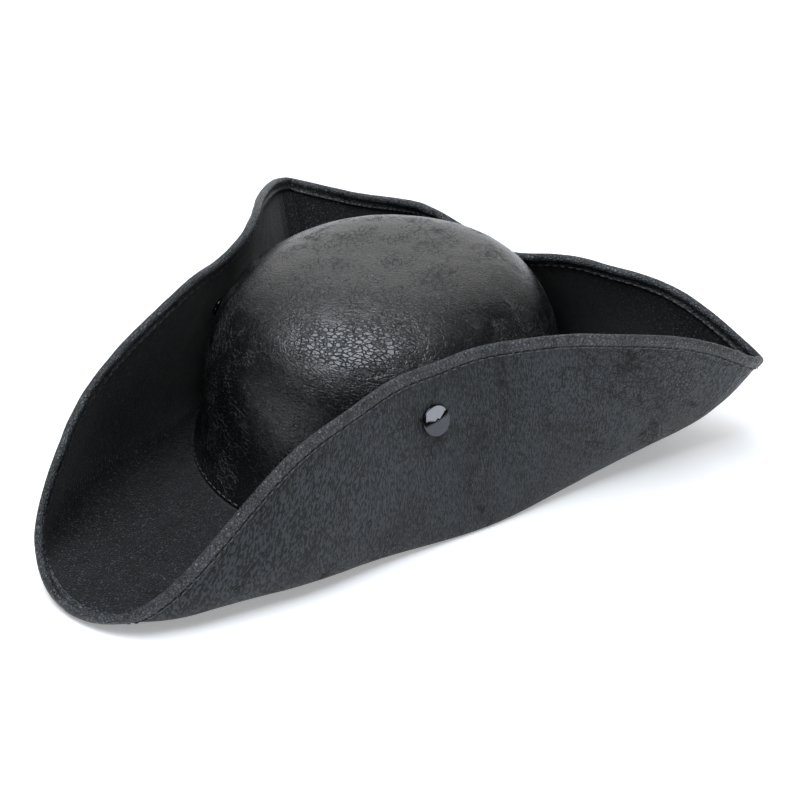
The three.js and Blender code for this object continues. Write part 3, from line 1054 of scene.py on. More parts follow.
def binding_leather() -> bpy.types.Material:
    """A narrow leathercloth strip, crushed as it was folded over the rim, with worn high spots.

    Returns:
        The new material.
    """
    return Leathercloth(
        # A narrow leathercloth strip, crushed as it was folded over the rim, with rubbed high spots.
        name="leathercloth_strip", space=PatternSpace.SOLID,
        body="#0d0e0f", bloom="#4b4e51", crack="#030304",
        pads=Pads(size=1.8 * MM, depth=0.40 * MM, at_rest=0.8, crease=0.28),
        streaks=Streaks(width=0.9 * MM, length=1.6 * MM, along=(0.3, 0.2, 0.9),
                        depth=0.08 * MM, shade=0.45),
        wear_and_light=WearAndLight(island_size=9 * MM, island_level=0.46, bloom=0.35),
        grain_size=0.8 * MM, grain_depth=0.3 * MM,
        crack_size=3.5 * MM, crack_share=0.04, smudge_size=6 * MM, smudge_share=0.03,
        roughness=(0.26, 0.42, 0.68),
    ).build()


@dataclass(frozen=True)
class PlainFinish:
    """A finish of one colour, with a slight variation and a fine bump of its own."""

    name: str
    colour: str
    other_colour: str
    roughness: float
    metallic: float
    grain_size: float
    grain_depth: float
    grain_stretch: tuple[float, float, float] = (1.0, 1.0, 1.0)
    glow: float = 0.0

    def build(self) -> bpy.types.Material:
        """Builds the material.

        Returns:
            The new material.
        """
        material = bpy.data.materials.new(self.name)
        material.use_nodes = True
        tree = material.node_tree
        tree.nodes.clear()
        source = add_node(tree, "ShaderNodeTexCoord").outputs["Object"]
        stretched = add_node(tree, "ShaderNodeVectorMath", {"operation": "MULTIPLY"},
                             {0: source, 1: self.grain_stretch})
        grain = add_node(tree, "ShaderNodeTexNoise", None,
                         {"Vector": stretched.outputs[0], "Scale": 1 / self.grain_size, "Detail": 3.0})
        colour = add_node(tree, "ShaderNodeMix", {"data_type": "RGBA"},
                          {"Factor": grain.outputs[0], MIX_A: linear_colour(self.colour),
                           MIX_B: linear_colour(self.other_colour)})
        rough = add_node(tree, "ShaderNodeMapRange", None,
                         {"Value": grain.outputs[0], "To Min": 0.85 * self.roughness,
                          "To Max": 1.15 * self.roughness})
        bump = add_node(tree, "ShaderNodeBump", None,
                        {"Height": grain.outputs[0], "Distance": self.grain_depth, "Strength": 1.0})
        shader = add_node(tree, "ShaderNodeBsdfPrincipled", None,
                          {"Base Color": colour.outputs[MIX_RESULT], "Roughness": rough.outputs[0],
                           "Metallic": self.metallic, "Normal": bump.outputs[0],
                           "Emission Color": linear_colour(self.colour),
                           "Emission Strength": self.glow})
        add_node(tree, "ShaderNodeOutputMaterial", None, {"Surface": shader.outputs[0]})
        return material


def waxed_thread() -> bpy.types.Material:
    """Twisted polyester thread, waxed, a little glossier than the leathercloth round it."""
    return PlainFinish("waxed_thread", "#1e2022", "#55585c", 0.40, 0.0, 0.7 * MM, 0.08 * MM).build()


def black_nickel() -> bpy.types.Material:
    """Pressed brass plated in polished black nickel, a dark mirror with faint handling marks."""
    return PlainFinish("black_nickel", "#4a4b4e", "#434447", 0.06, 1.0, 3 * MM, 0.003 * MM).build()


def knit_backing() -> bpy.types.Material:
    """The leathercloth's bare knitted backing inside the crown, a dull charcoal."""
    return PlainFinish("knit_backing", "#121314", "#242527", 0.85, 0.0, 1.2 * MM, 0.25 * MM,
                       (1.0, 1.0, 2.2)).build()


def studio_paper() -> bpy.types.Material:
    """White background paper, quite matte, and lit a little from behind."""
    return PlainFinish("studio_paper", "#f6f6f6", "#f4f4f4", 0.9, 0.0, 40 * MM, 0.0,
                       glow=0.3).build()


# Pieces of the hat


@dataclass(frozen=True)
class CrownDome:
    """The moulded crown: an outer face with a rolled foot and shallow dents, and a plain inside.

    The dents fade in above the foot. A stitch is as long as its share of the distance to the next.
    """

    shape: CrownShape
    segments: int = 240
    outer_rings: int = 120
    inner_rings: int = 44
    foot_bead: float = 0.4 * MM
    foot_bead_level: float = 0.8 * MM
    foot_bead_width: float = 1.0 * MM
    groove_depth: float = 0.25 * MM
    groove_width: float = 1.1 * MM
    stitch_level: float = 1.9 * MM
    stitch_share: float = 0.72
    stitch_seed: int = 7
    dent_depth: float = 0.5 * MM
    dent_size: float = 42 * MM
    dent_seed: float = 3.7
    ripple_depth: float = 0.12 * MM
    ripple_size: float = 9 * MM
    ripple_seed: float = 11.3
    even_below: float = 4 * MM
    uneven_above: float = 22 * MM

    def ring_points(self, profile: np.ndarray) -> np.ndarray:
        """Turns a profile into rings of points, narrowed across the hat.

        Args:
            profile: Distance from the axis and level of each point.

        Returns:
            A ring for each point of the profile.
        """
        around = np.linspace(0, 2 * math.pi, self.segments, endpoint=False)
        foot = self.shape.foot_flare
        narrow = (self.shape.half_width + foot) / (self.shape.half_length + foot)
        radius, level = profile[:, None, 0], profile[:, None, 1]
        return np.stack(np.broadcast_arrays(
            narrow * radius * np.sin(around), -radius * np.cos(around), level), axis=-1)

    def outer_profile(self) -> np.ndarray:
        """The outer wall's section, with its rolled foot and the groove that the stitches pull.

        Returns:
            Distance from the axis and level above the floor of each point.
        """
        profile = self.shape.profile(0.0, self.outer_rings)
        height = profile[:, 1] - self.shape.base
        bead = self.foot_bead * np.exp(-(((height - self.foot_bead_level) / self.foot_bead_width) ** 2))
        groove = self.groove_depth * np.exp(-(((height - self.stitch_level) / self.groove_width) ** 2))
        profile[:, 0] += bead - groove
        return profile

    def build(self, leather: bpy.types.Material, backing: bpy.types.Material) -> bpy.types.Object:
        """Builds the crown.

        Args:
            leather: Finish of the outer face.
            backing: Finish of the inside.

        Returns:
            The crown's object.
        """
        outer = self.ring_points(self.outer_profile())
        centre = np.array([0, 0, self.shape.height / 3])
        away = outer - centre
        away /= np.linalg.norm(away, axis=-1, keepdims=True)
        fade = smooth_step(outer[..., 2:3] - self.shape.base, self.even_below, self.uneven_above)
        dents = (self.dent_depth * wander(outer, self.dent_size, self.dent_seed)
                 + self.ripple_depth * wander(outer, self.ripple_size, self.ripple_seed))
        outer = outer + away * dents[..., None] * fade
        inner = self.ring_points(self.shape.profile(self.shape.wall, self.inner_rings))
        rings = [*outer[:-1], outer[-1, :1], inner[-1, :1], *inner[-2::-1]]
        points = np.concatenate(rings)
        faces, inside = self.faces(len(outer) - 1, len(inner) - 1)
        piece = make_piece("crown_dome", points, faces, [leather, backing], inside)
        dress(piece, "crown_leather", "crown")
        return piece

    def faces(self, outer: int, inner: int) -> tuple[list[list[int]], np.ndarray]:
        """Joins the rings, the two poles and the foot.

        Args:
            outer: How many whole rings the outer face has.
            inner: How many whole rings the inner face has.

        Returns:
            The faces, and 1 for each one on the inside and 0 for the others.
        """
        count = self.segments
        top = outer * count
        first_inner = top + 2
        walls = ring_faces(outer, count, False)
        linings = ring_faces(inner, count, False) + first_inner
        last_outer = top - count
        end = first_inner + (inner - 1) * count
        beside = [(j + 1) % count for j in range(count)]
        caps = [[last_outer + j, last_outer + beside[j], top] for j in range(count)]
        ceilings = [[top + 1, first_inner + beside[j], first_inner + j] for j in range(count)]
        feet = [[end + j, end + beside[j], beside[j], j] for j in range(count)]
        faces = [*walls.tolist(), *caps, *ceilings, *linings.tolist(), *feet]
        inside = np.zeros(len(faces), dtype=np.int32)
        inside[len(walls) + len(caps):len(faces) - len(feet)] = 1
        return faces, inside

    def stitch_line(self) -> np.ndarray:
        """Places of the stitches that sew the crown to the brim, round its foot.

        Returns:
            A closed line of points.
        """
        profile = self.outer_profile()
        radius = np.interp(self.shape.base + self.stitch_level, profile[:, 1], profile[:, 0])
        return self.ring_points(np.array([[radius, self.shape.base + self.stitch_level]]))[0]


@dataclass(frozen=True)
class TurnedBrim:
    """The brim: one sheet turned up in three flaps, with a slight unevenness and dimpled snaps."""

    shape: BrimShape
    seats: tuple[SnapSeat, ...]
    station_count: int = 800
    section_rows: int = 52
    bend_length: float = 14 * MM
    wave_depth: float = 0.7 * MM
    wave_size: float = 48 * MM
    wave_seed: float = 5.1
    ripple_depth: float = 0.22 * MM
    ripple_size: float = 12 * MM
    ripple_seed: float = 8.9
    dimple_depth: float = 0.8 * MM
    dimple_size: float = 12 * MM
    roll_radius: float = 150 * MM

    def relief(self, points: np.ndarray, share: np.ndarray) -> np.ndarray:
        """How far the sheet stands off its smooth shape, towards its upper face.

        Args:
            points: Places on the middle surface.
            share: Their shares of the sections.

        Returns:
            A distance for each place.
        """
        uneven = (self.wave_depth * wander(points, self.wave_size, self.wave_seed)
                  + self.ripple_depth * wander(points, self.ripple_size, self.ripple_seed))
        uneven = uneven * smooth_step(share, 0.1, 0.4)
        for seat in self.seats:
            away = np.linalg.norm(points - seat.spot, axis=-1)
            pull = np.exp(-((away / self.dimple_size) ** 2))
            uneven = uneven * (1 - pull) + self.dimple_depth * pull
        return uneven

    def build(self, outside: bpy.types.Material, inside: bpy.types.Material) -> bpy.types.Object:
        """Builds the brim.

        Args:
            outside: Finish of the lower face, which is outside where the brim is turned up.
            inside: Finish of the upper face.

        Returns:
            The brim's object.
        """
        loops = self.shape.stations(self.station_count, self.bend_length)
        shares = np.linspace(0, 1, self.section_rows)
        loop_grid, share_grid = np.meshgrid(loops, shares, indexing="ij")
        middle = self.shape.point(loop_grid, share_grid)
        normal = self.shape.directions(loop_grid, share_grid)[2]
        lift = self.relief(middle, share_grid)[..., None]
        half = self.shape.wall / 2
        sign, _, angle = self.shape.side(loops)
        opening_radius = self.shape.crown.foot_radius(angle) - self.shape.crown.wall
        opening = np.stack([sign * opening_radius * np.sin(angle), -opening_radius * np.cos(angle),
                            0 * angle], axis=-1)[:, None, :]
        upper = np.concatenate([opening + [0, 0, 2 * half], middle + normal * (lift + half)], axis=1)
        lower = np.concatenate([opening, middle + normal * (lift - half)], axis=1)
        points = np.concatenate([upper, lower[:, ::-1]], axis=1)
        count = points.shape[1]
        faces = ring_faces(len(loops), count, True)
        place_in_ring = np.arange(len(faces)) % count
        is_upper = place_in_ring < self.section_rows
        pattern = self.rolled_places(middle, loops)
        pattern = np.concatenate([pattern, pattern[:, ::-1]], axis=1)
        piece = make_piece("turned_brim", points.reshape(-1, 3), faces.tolist(), [outside, inside],
                           is_upper, pattern.reshape(-1, 3))
        dress(piece, "brim_leather", "brim")
        return piece

    def rolled_places(self, middle: np.ndarray, loops: np.ndarray) -> np.ndarray:
        """Where the sheet's points lie on cloth that is rolled up round the hat.

        Args:
            middle: Places on the middle surface, a row for each section.
            loops: The sections.

        Returns:
            Places on the roll, with the distance out along the sheet as z, and with one more place
            at the head opening in each row.
        """
        sign, _, angle = self.shape.side(loops)
        foot = self.shape.crown.foot_radius(angle)
        steps = np.linalg.norm(np.diff(middle, axis=1), axis=-1)
        start = (foot + self.shape.foot_margin)[:, None]
        out = np.concatenate([start, start + np.cumsum(steps, axis=1)], axis=1)
        out = np.concatenate([(foot - self.shape.crown.wall)[:, None], out], axis=1)
        across = np.stack([sign * np.sin(angle), -np.cos(angle)], axis=-1) * self.roll_radius
        return np.concatenate([np.repeat(across[:, None, :], out.shape[1], axis=1),
                               out[..., None]], axis=-1)


@dataclass(frozen=True)
class EdgeBinding:
    """A leathercloth strip folded over the rim and sewn through, padded out between the stitches.

    Each row of its section is a distance in from the rim, negative past it, a height off the brim's
    middle surface and how much the stitches pull that height in. The strip's hidden face lies at
    the height under, from inner_fold to inner_edge in from the rim.
    """

    shape: BrimShape
    brim: TurnedBrim
    station_count: int = 1150
    stitch_pitch: float = 4.9 * MM
    stitch_inset: float = 5.15 * MM
    stitch_level: float = 1.55 * MM
    inner_stitch_level: float = 1.9 * MM
    stitch_share: float = 0.56
    thread_radius: float = 0.40 * MM
    outer_fold: float = 1.35 * MM
    inner_fold: float = 0.2 * MM
    inner_edge: float = 5.6 * MM
    under: float = 0.95 * MM
    outer_rows: tuple[tuple[float, float, float], ...] = (
        (5.9 * MM, 1.05 * MM, 0.0),
        (5.75 * MM, 1.40 * MM, 0.2),
        (5.45 * MM, 1.55 * MM, 0.6),
        (5.15 * MM, 1.50 * MM, 1.0),
        (4.85 * MM, 1.30 * MM, 0.8),
        (4.6 * MM, 1.02 * MM, 0.0),
        (4.4 * MM, 1.08 * MM, 0.0),
        (4.1 * MM, 1.75 * MM, 0.3),
        (3.6 * MM, 2.10 * MM, 0.3),
        (2.7 * MM, 2.30 * MM, 0.2),
        (1.6 * MM, 2.36 * MM, 0.1),
        (0.6 * MM, 2.28 * MM, 0.1),
        (-0.3 * MM, 2.02 * MM, 0.0),
        (-0.95 * MM, 1.40 * MM, 0.0),
        (-1.3 * MM, 0.65 * MM, 0.0),
    )
    inner_rows: tuple[tuple[float, float, float], ...] = (
        (-1.3 * MM, 0.65 * MM, 0.0),
        (-0.95 * MM, 1.40 * MM, 0.0),
        (-0.3 * MM, 2.05 * MM, 0.0),
        (0.5 * MM, 2.35 * MM, 0.1),
        (1.3 * MM, 2.25 * MM, 0.2),
        (2.2 * MM, 1.75 * MM, 0.4),
        (3.2 * MM, 1.30 * MM, 0.5),
        (4.2 * MM, 1.25 * MM, 0.5),
        (4.8 * MM, 1.60 * MM, 0.8),
        (5.2 * MM, 1.95 * MM, 0.8),
        (5.7 * MM, 1.98 * MM, 0.3),
        (6.1 * MM, 1.70 * MM, 0.1),
        (6.2 * MM, 1.05 * MM, 0.0),
    )
    pucker_depth: float = 0.25 * MM
    swell_depth: float = 0.18 * MM
    swell_size: float = 9 * MM
    swell_seed: float = 2.3

    def build(self, leather: bpy.types.Material) -> bpy.types.Object:
        """Builds the binding.

        Args:
            leather: Its finish.

        Returns:
            The binding's object.
        """
        loops = self.shape.stations(self.station_count, self.brim.bend_length)
        edge = (self.inner_edge, self.under, 0.0)
        fold = (self.inner_fold, self.under, 0.0)
        sides = [(row, -1.0) for row in self.outer_rows] + [((-self.outer_fold, 0.0, 0.0), 1.0)]
        sides += [(row, 1.0) for row in self.inner_rows]
        sides += [(edge, 1.0), (fold, 1.0), (fold, -1.0), (edge, -1.0)]
        distances = np.array([row[0] for row, _ in sides])
        heights = np.array([row[1] * side for row, side in sides])
        pulls = np.array([row[2] * side for row, side in sides])
        surface, normal = self.surface(loops, np.maximum(distances, 0))
        outward = self.outward(loops)
        along = self.phase(loops)
        pucker = (0.5 - 0.5 * np.cos(2 * math.pi * along))[:, None] * pulls
        swell = self.swell_depth * wander(surface, self.swell_size, self.swell_seed) * np.sign(heights)
        rise = heights - pucker * self.pucker_depth + swell * (np.abs(heights) > self.under)
        points = surface + normal * rise[..., None]
        points += outward[:, None, :] * np.maximum(-distances, 0)[None, :, None]
        faces = ring_faces(len(loops), len(sides), True)
        piece = make_piece("rim_binding", points.reshape(-1, 3), faces.tolist(), [leather])
        dress(piece, "binding_leather", "edge_binding")
        return piece

    def surface(self, loops: np.ndarray, distances: np.ndarray) -> tuple[np.ndarray, np.ndarray]:
        """Places and normals of the brim's uneven middle surface, at distances in from the rim.

        Args:
            loops: The sections.
            distances: Distances from the rim, in metres.

        Returns:
            The places and the normals, a row for each section.
        """
        shares = self.shape.shares_from_rim(loops, distances)
        loop_grid = np.repeat(loops[:, None], len(distances), axis=1)
        middle = self.shape.point(loop_grid, shares)
        normal = self.shape.directions(loop_grid, shares)[2]
        return middle + normal * self.brim.relief(middle, shares)[..., None], normal

    def outward(self, loops: np.ndarray) -> np.ndarray:
        """Directions out of the rim, in the brim's own surface.

        Args:
            loops: The sections.

        Returns:
            A direction for each section.
        """
        _, along, normal = self.shape.directions(loops, np.ones_like(loops))
        out = np.cross(along, normal)
        return out / np.linalg.norm(out, axis=-1, keepdims=True)

    def stitch_count(self, line: np.ndarray) -> int:
        """How many stitches go round a line."""
        return round(line_length(line) / self.stitch_pitch)

    def phase(self, loops: np.ndarray) -> np.ndarray:
        """Place of each section between the stitches, counted in stitches from the front.

        Args:
            loops: The sections.

        Returns:
            The count at each section, which is whole midway between two stitches.
        """
        line = self.surface(loops, np.array([self.stitch_inset]))[0][:, 0]
        steps = np.linalg.norm(np.diff(np.append(line, line[:1], axis=0), axis=0), axis=1)
        lengths = np.concatenate([[0], np.cumsum(steps)])
        return lengths[:-1] / lengths[-1] * self.stitch_count(line) + 0.5

    def stitch_lines(self) -> tuple[np.ndarray, np.ndarray]:
        """Places of the stitches on the outside and on the inside of the rim.

        Returns:
            Two closed lines of points.
        """
        loops = self.shape.stations(self.station_count, self.brim.bend_length)
        surface, normal = self.surface(loops, np.array([self.stitch_inset]))
        outer_level = -(self.stitch_level + 0.5 * self.thread_radius)
        inner_level = self.inner_stitch_level + 0.5 * self.thread_radius
        return (surface[:, 0] + normal[:, 0] * outer_level, surface[:, 0] + normal[:, 0] * inner_level)


def line_length(line: np.ndarray) -> float:
    """Length of a closed line of points."""
    return float(np.linalg.norm(np.diff(np.append(line, line[:1], axis=0), axis=0), axis=1).sum())


@dataclass(frozen=True)
class StitchRun:
    """A closed run of stitches, laid along a line by geometry nodes."""

    name: str
    line: np.ndarray
    count: int
    stitch_length: float
    thread_radius: float
    seed: int
    tilt: float = math.radians(4)

    @staticmethod
    def node_tree() -> bpy.types.NodeTree:
        """The tree that turns a closed line of edges into stitches.

        Returns:
            The tree, made once and shared by every run.
        """
        name = "stitches_along_line"
        if name in bpy.data.node_groups:
            return bpy.data.node_groups[name]
        tree = bpy.data.node_groups.new(name, "GeometryNodeTree")
        tree.interface.new_socket("Geometry", in_out="INPUT", socket_type="NodeSocketGeometry")
        for label, kind in (("Count", "Int"), ("Stitch Length", "Float"), ("Thread Radius", "Float"),
                            ("Tilt", "Float"), ("Seed", "Int"), ("Thread", "Material")):
            tree.interface.new_socket(label, in_out="INPUT", socket_type=f"NodeSocket{kind}")
        tree.interface.new_socket("Geometry", in_out="OUTPUT", socket_type="NodeSocketGeometry")
        given = add_node(tree, "NodeGroupInput").outputs
        curve = add_node(tree, "GeometryNodeMeshToCurve", None, {"Mesh": given["Geometry"]})
        spots = add_node(tree, "GeometryNodeResampleCurve", None,
                         {"Curve": curve.outputs[0], "Count": given["Count"]})
        ball = add_node(tree, "GeometryNodeMeshUVSphere", None,
                        {"Segments": 8, "Rings": 6, "Radius": 1.0})
        half_length = add_node(tree, "ShaderNodeMath", {"operation": "MULTIPLY"},
                               {0: given["Stitch Length"], 1: 0.5})
        thread_size = add_node(tree, "ShaderNodeCombineXYZ", None,
                               {"X": given["Thread Radius"], "Y": given["Thread Radius"],
                                "Z": half_length.outputs[0]})
        stitch = add_node(tree, "GeometryNodeTransform", None,
                          {"Geometry": ball.outputs["Mesh"], "Scale": thread_size.outputs[0]})
        tangent = add_node(tree, "GeometryNodeInputTangent")
        turn = add_node(tree, "FunctionNodeAlignRotationToVector", {"axis": "Z"},
                        {"Vector": tangent.outputs[0]})
        least = add_node(tree, "ShaderNodeMath", {"operation": "MULTIPLY"}, {0: given["Tilt"], 1: -1.0})
        low = add_node(tree, "ShaderNodeCombineXYZ", None,
                       {"X": least.outputs[0], "Y": least.outputs[0], "Z": least.outputs[0]})
        high = add_node(tree, "ShaderNodeCombineXYZ", None,
                        {"X": given["Tilt"], "Y": given["Tilt"], "Z": given["Tilt"]})
        jitter = add_node(tree, "FunctionNodeRandomValue", {"data_type": "FLOAT_VECTOR"},
                          {0: low.outputs[0], 1: high.outputs[0], "Seed": given["Seed"]})
        tilted = add_node(tree, "FunctionNodeEulerToRotation", None, {0: jitter.outputs[0]})
        rotation = add_node(tree, "FunctionNodeRotateRotation", {"rotation_space": "LOCAL"},
                            {0: turn.outputs[0], 1: tilted.outputs[0]})
        laid = add_node(tree, "GeometryNodeInstanceOnPoints", None,
                        {"Points": spots.outputs[0], "Instance": stitch.outputs[0],
                         "Rotation": rotation.outputs[0]})
        real = add_node(tree, "GeometryNodeRealizeInstances", None, {"Geometry": laid.outputs[0]})
        smooth = add_node(tree, "GeometryNodeSetShadeSmooth", None, {0: real.outputs[0]})
        dyed = add_node(tree, "GeometryNodeSetMaterial", None,
                        {"Geometry": smooth.outputs[0], "Material": given["Thread"]})
        add_node(tree, "NodeGroupOutput", None, {"Geometry": dyed.outputs[0]})
        return tree

    def build(self, thread: bpy.types.Material, slot: str) -> bpy.types.Object:
        """Builds the stitches.

        Args:
            thread: Their finish.
            slot: The material slot of the imported model, handed on to dress.

        Returns:
            The object of all the run's stitches.
        """
        size = len(self.line)
        path = bpy.data.meshes.new(f"{self.name}_line")
        path.from_pydata(self.line.tolist(), [(i, (i + 1) % size) for i in range(size)], [])
        guide = bpy.data.objects.new(f"{self.name}_line", path)
        bpy.context.scene.collection.objects.link(guide)
        tree = self.node_tree()
        modifier = guide.modifiers.new("stitches", "NODES")
        modifier.node_group = tree
        values = {"Count": self.count, "Stitch Length": self.stitch_length,
                  "Thread Radius": self.thread_radius, "Tilt": self.tilt, "Seed": self.seed,
                  "Thread": thread}
        for item in tree.interface.items_tree:
            if item.in_out == "INPUT" and item.name in values:
                modifier[item.identifier] = values[item.name]
        graph = bpy.context.evaluated_depsgraph_get()
        mesh = bpy.data.meshes.new_from_object(guide.evaluated_get(graph), depsgraph=graph)
        guide.modifiers.remove(modifier)
        bpy.data.objects.remove(guide)
        mesh.name = self.name
        piece = bpy.data.objects.new(self.name, mesh)
        bpy.context.scene.collection.objects.link(piece)
        dress(piece, slot)
        return piece


@dataclass(frozen=True)
class SnapStuds:
    """Turned metal pieces of the snaps: a coned cap on each flap and the stud behind it.

    Each cap leans back a little on its seat and has a rolled edge and a small point.
    """

    sizes: SnapSizes
    segments: int = 64
    cap_tilt: float = math.radians(7.5)
    cap_roll: float = 0.45 * MM
    cap_roll_bend: float = math.radians(80)
    point_radius: float = 0.75 * MM
    point_height: float = 0.42 * MM

    def turned(self, name: str, profile: list[tuple[float, float]], seat: SnapSeat,
               metal: bpy.types.Material) -> bpy.types.Object:
        """Turns a profile about a snap's axis.

        Args:
            name: The piece's name.
            profile: Radius and distance along the axis of each point, from the axis round to it.
            seat: The snap's seat.
            metal: The finish.

        Returns:
            The turned object.
        """
        around = np.linspace(0, 2 * math.pi, self.segments, endpoint=False)
        inner = np.array(profile[1:-1])
        rings = np.stack(np.broadcast_arrays(
            inner[:, None, 0] * np.cos(around), inner[:, None, 0] * np.sin(around),
            inner[:, None, 1]), axis=-1).reshape(-1, 3)
        poles = np.array([[0, 0, profile[0][1]], [0, 0, profile[-1][1]]])
        frame = np.array(Vector(seat.axis).to_track_quat("Z", "Y").to_matrix())
        points = np.concatenate([rings, poles]) @ frame.T + seat.spot
        count = self.segments
        first, last = len(rings), len(rings) + 1
        end = len(rings) - count
        faces = ring_faces(len(inner), count, False).tolist()
        faces += [[first, (j + 1) % count, j] for j in range(count)]
        faces += [[end + j, end + (j + 1) % count, last] for j in range(count)]
        return make_piece(name, points, faces, [metal])

    def cap(self, name: str, seat: SnapSeat, metal: bpy.types.Material) -> bpy.types.Object:
        """Builds a cap: a shallow cone with a rolled edge and a small point at its centre.

        Args:
            name: The snap's name.
            seat: Its seat.
            metal: The finish.

        Returns:
            The cap's object.
        """
        radius, low = self.sizes.cap_radius, seat.flap_outer - self.sizes.press
        shoulder = seat.flap_outer - self.sizes.press + self.sizes.cap_thickness
        roll, pip = self.cap_roll, self.point_radius
        roll_level = shoulder - 0.35 * MM
        profile = [(0.0, low), (radius - 0.9 * MM, low), (radius - 0.3 * MM, low + 0.2 * MM),
                   (radius, low + 0.7 * MM), (radius, roll_level)]
        for step in range(1, 6):
            bend = step / 5 * self.cap_roll_bend
            profile.append((radius - roll * (1 - math.cos(bend)), roll_level + roll * math.sin(bend)))
        face_edge, face_level = radius - 0.7 * MM, shoulder + 0.12 * MM
        tip = shoulder + self.sizes.cap_rise
        for step in range(1, 9):
            share = step / 8
            profile.append((face_edge + (pip - face_edge) * share, face_level + (tip - face_level) * share))
        for step in range(1, 5):
            bend = step / 5 * math.pi / 2
            profile.append((pip * math.cos(bend) * 0.9, tip + self.point_height * math.sin(bend)))
        profile.append((0.0, tip + self.point_height))
        upright = seat.axis + np.array([0, 0, math.tan(self.cap_tilt)])
        tipped = replace(seat, axis=upright / np.linalg.norm(upright))
        piece = self.turned(f"cap_{name}", profile, tipped, metal)
        dress(piece, "snap_metal", f"snap_cap_{name}")
        return piece

    def stud(self, name: str, seat: SnapSeat, metal: bpy.types.Material) -> bpy.types.Object:
        """Builds a stud: a domed rivet head inside the crown, a collar, and a shank through both.

        Args:
            name: The snap's name.
            seat: Its seat.
            metal: The finish.

        Returns:
            The stud's object.
        """
        sizes = self.sizes
        head, wall = seat.crown_inner - sizes.rivet_thickness, seat.crown_inner
        profile = [(0.0, head - 0.2 * MM), (0.5 * sizes.rivet_radius, head - 0.1 * MM),
                   (0.85 * sizes.rivet_radius, head + 0.2 * MM), (sizes.rivet_radius, wall - 0.4 * MM),
                   (sizes.rivet_radius, wall), (sizes.shank_radius, wall),
                   (sizes.shank_radius, seat.crown_outer), (sizes.collar_radius, seat.crown_outer),
                   (sizes.collar_radius + 0.2 * MM, seat.crown_outer + 0.3 * MM),
                   (sizes.collar_radius + 0.2 * MM, seat.flap_inner - 0.3 * MM),
                   (sizes.collar_radius, seat.flap_inner), (sizes.shank_radius, seat.flap_inner),
                   (sizes.shank_radius, seat.flap_outer), (0.0, seat.flap_outer)]
        piece = self.turned(f"stud_{name}", profile, seat, metal)
        dress(piece, "snap_metal", f"snap_stud_{name}")
        return piece


# Studio


@dataclass(frozen=True)
class ProductCamera:
    """The photograph's view: from the wearer's front left, looking down at the hat on the floor."""

    azimuth: float = math.radians(43.25)
    elevation: float = math.radians(32.5)
    distance: float = 1.392
    focal_length_mm: float = 115.5
    sensor_width_mm: float = 36.0
    aim_right: float = 8.86 * MM
    aim_up: float = 17.65 * MM

    def axes(self) -> tuple[Vector, Vector, Vector]:
        """The camera's directions.

        Returns:
            Its right, up and back directions.
        """
        a, e = self.azimuth, self.elevation
        right = Vector((math.cos(a), math.sin(a), 0))
        back = Vector((math.sin(a) * math.cos(e), -math.cos(a) * math.cos(e), math.sin(e)))
        return right, back.cross(right), back

    def build(self) -> bpy.types.Object:
        """Makes the scene's camera.

        Returns:
            The camera.
        """
        right, up, back = self.axes()
        data = bpy.data.cameras.new("product_camera")
        data.lens = self.focal_length_mm
        data.sensor_width = self.sensor_width_mm
        camera = bpy.data.objects.new("product_camera", data)
        aim = self.aim_right * right + self.aim_up * up
        turn = Matrix((right, up, back)).transposed().to_4x4()
        camera.matrix_world = Matrix.Translation(aim + self.distance * back) @ turn
        bpy.context.scene.collection.objects.link(camera)
        bpy.context.scene.camera = camera
        return camera


def heading(azimuth_deg: float, elevation_deg: float) -> Vector:
    """The direction at an azimuth, from the front round by the wearer's left, and an elevation."""
    a, e = math.radians(azimuth_deg), math.radians(elevation_deg)
    return Vector((math.sin(a) * math.cos(e), -math.cos(a) * math.cos(e), math.sin(e)))


@dataclass(frozen=True)
class Softbox:
    """An oblong studio light, aimed at the hat. Its glow is its radiance."""

    name: str
    azimuth_deg: float
    elevation_deg: float
    distance: float
    width: float
    height: float
    glow: float
    colour: str = "#ffffff"

    def build(self, aim: Vector) -> None:
        """Makes the light, at an azimuth and elevation round the point that it is aimed at.

        Args:
            aim: The point.
        """
        back = heading(self.azimuth_deg, self.elevation_deg)
        data = bpy.data.lights.new(self.name, "AREA")
        data.shape = "RECTANGLE"
        data.size = self.width
        data.size_y = self.height
        data.energy = self.glow * math.pi * self.width * self.height
        data.color = linear_colour(self.colour)[:3]
        light = bpy.data.objects.new(self.name, data)
        light.matrix_world = (Matrix.Translation(aim + self.distance * back)
                              @ back.to_track_quat("Z", "Y").to_matrix().to_4x4())
        bpy.context.scene.collection.objects.link(light)


@dataclass(frozen=True)
class RoomGlow:
    """A soft light patch on the room's walls or ceiling, full inside and gone at its edge."""

    azimuth_deg: float
    elevation_deg: float
    full_deg: float
    edge_deg: float
    strength: float


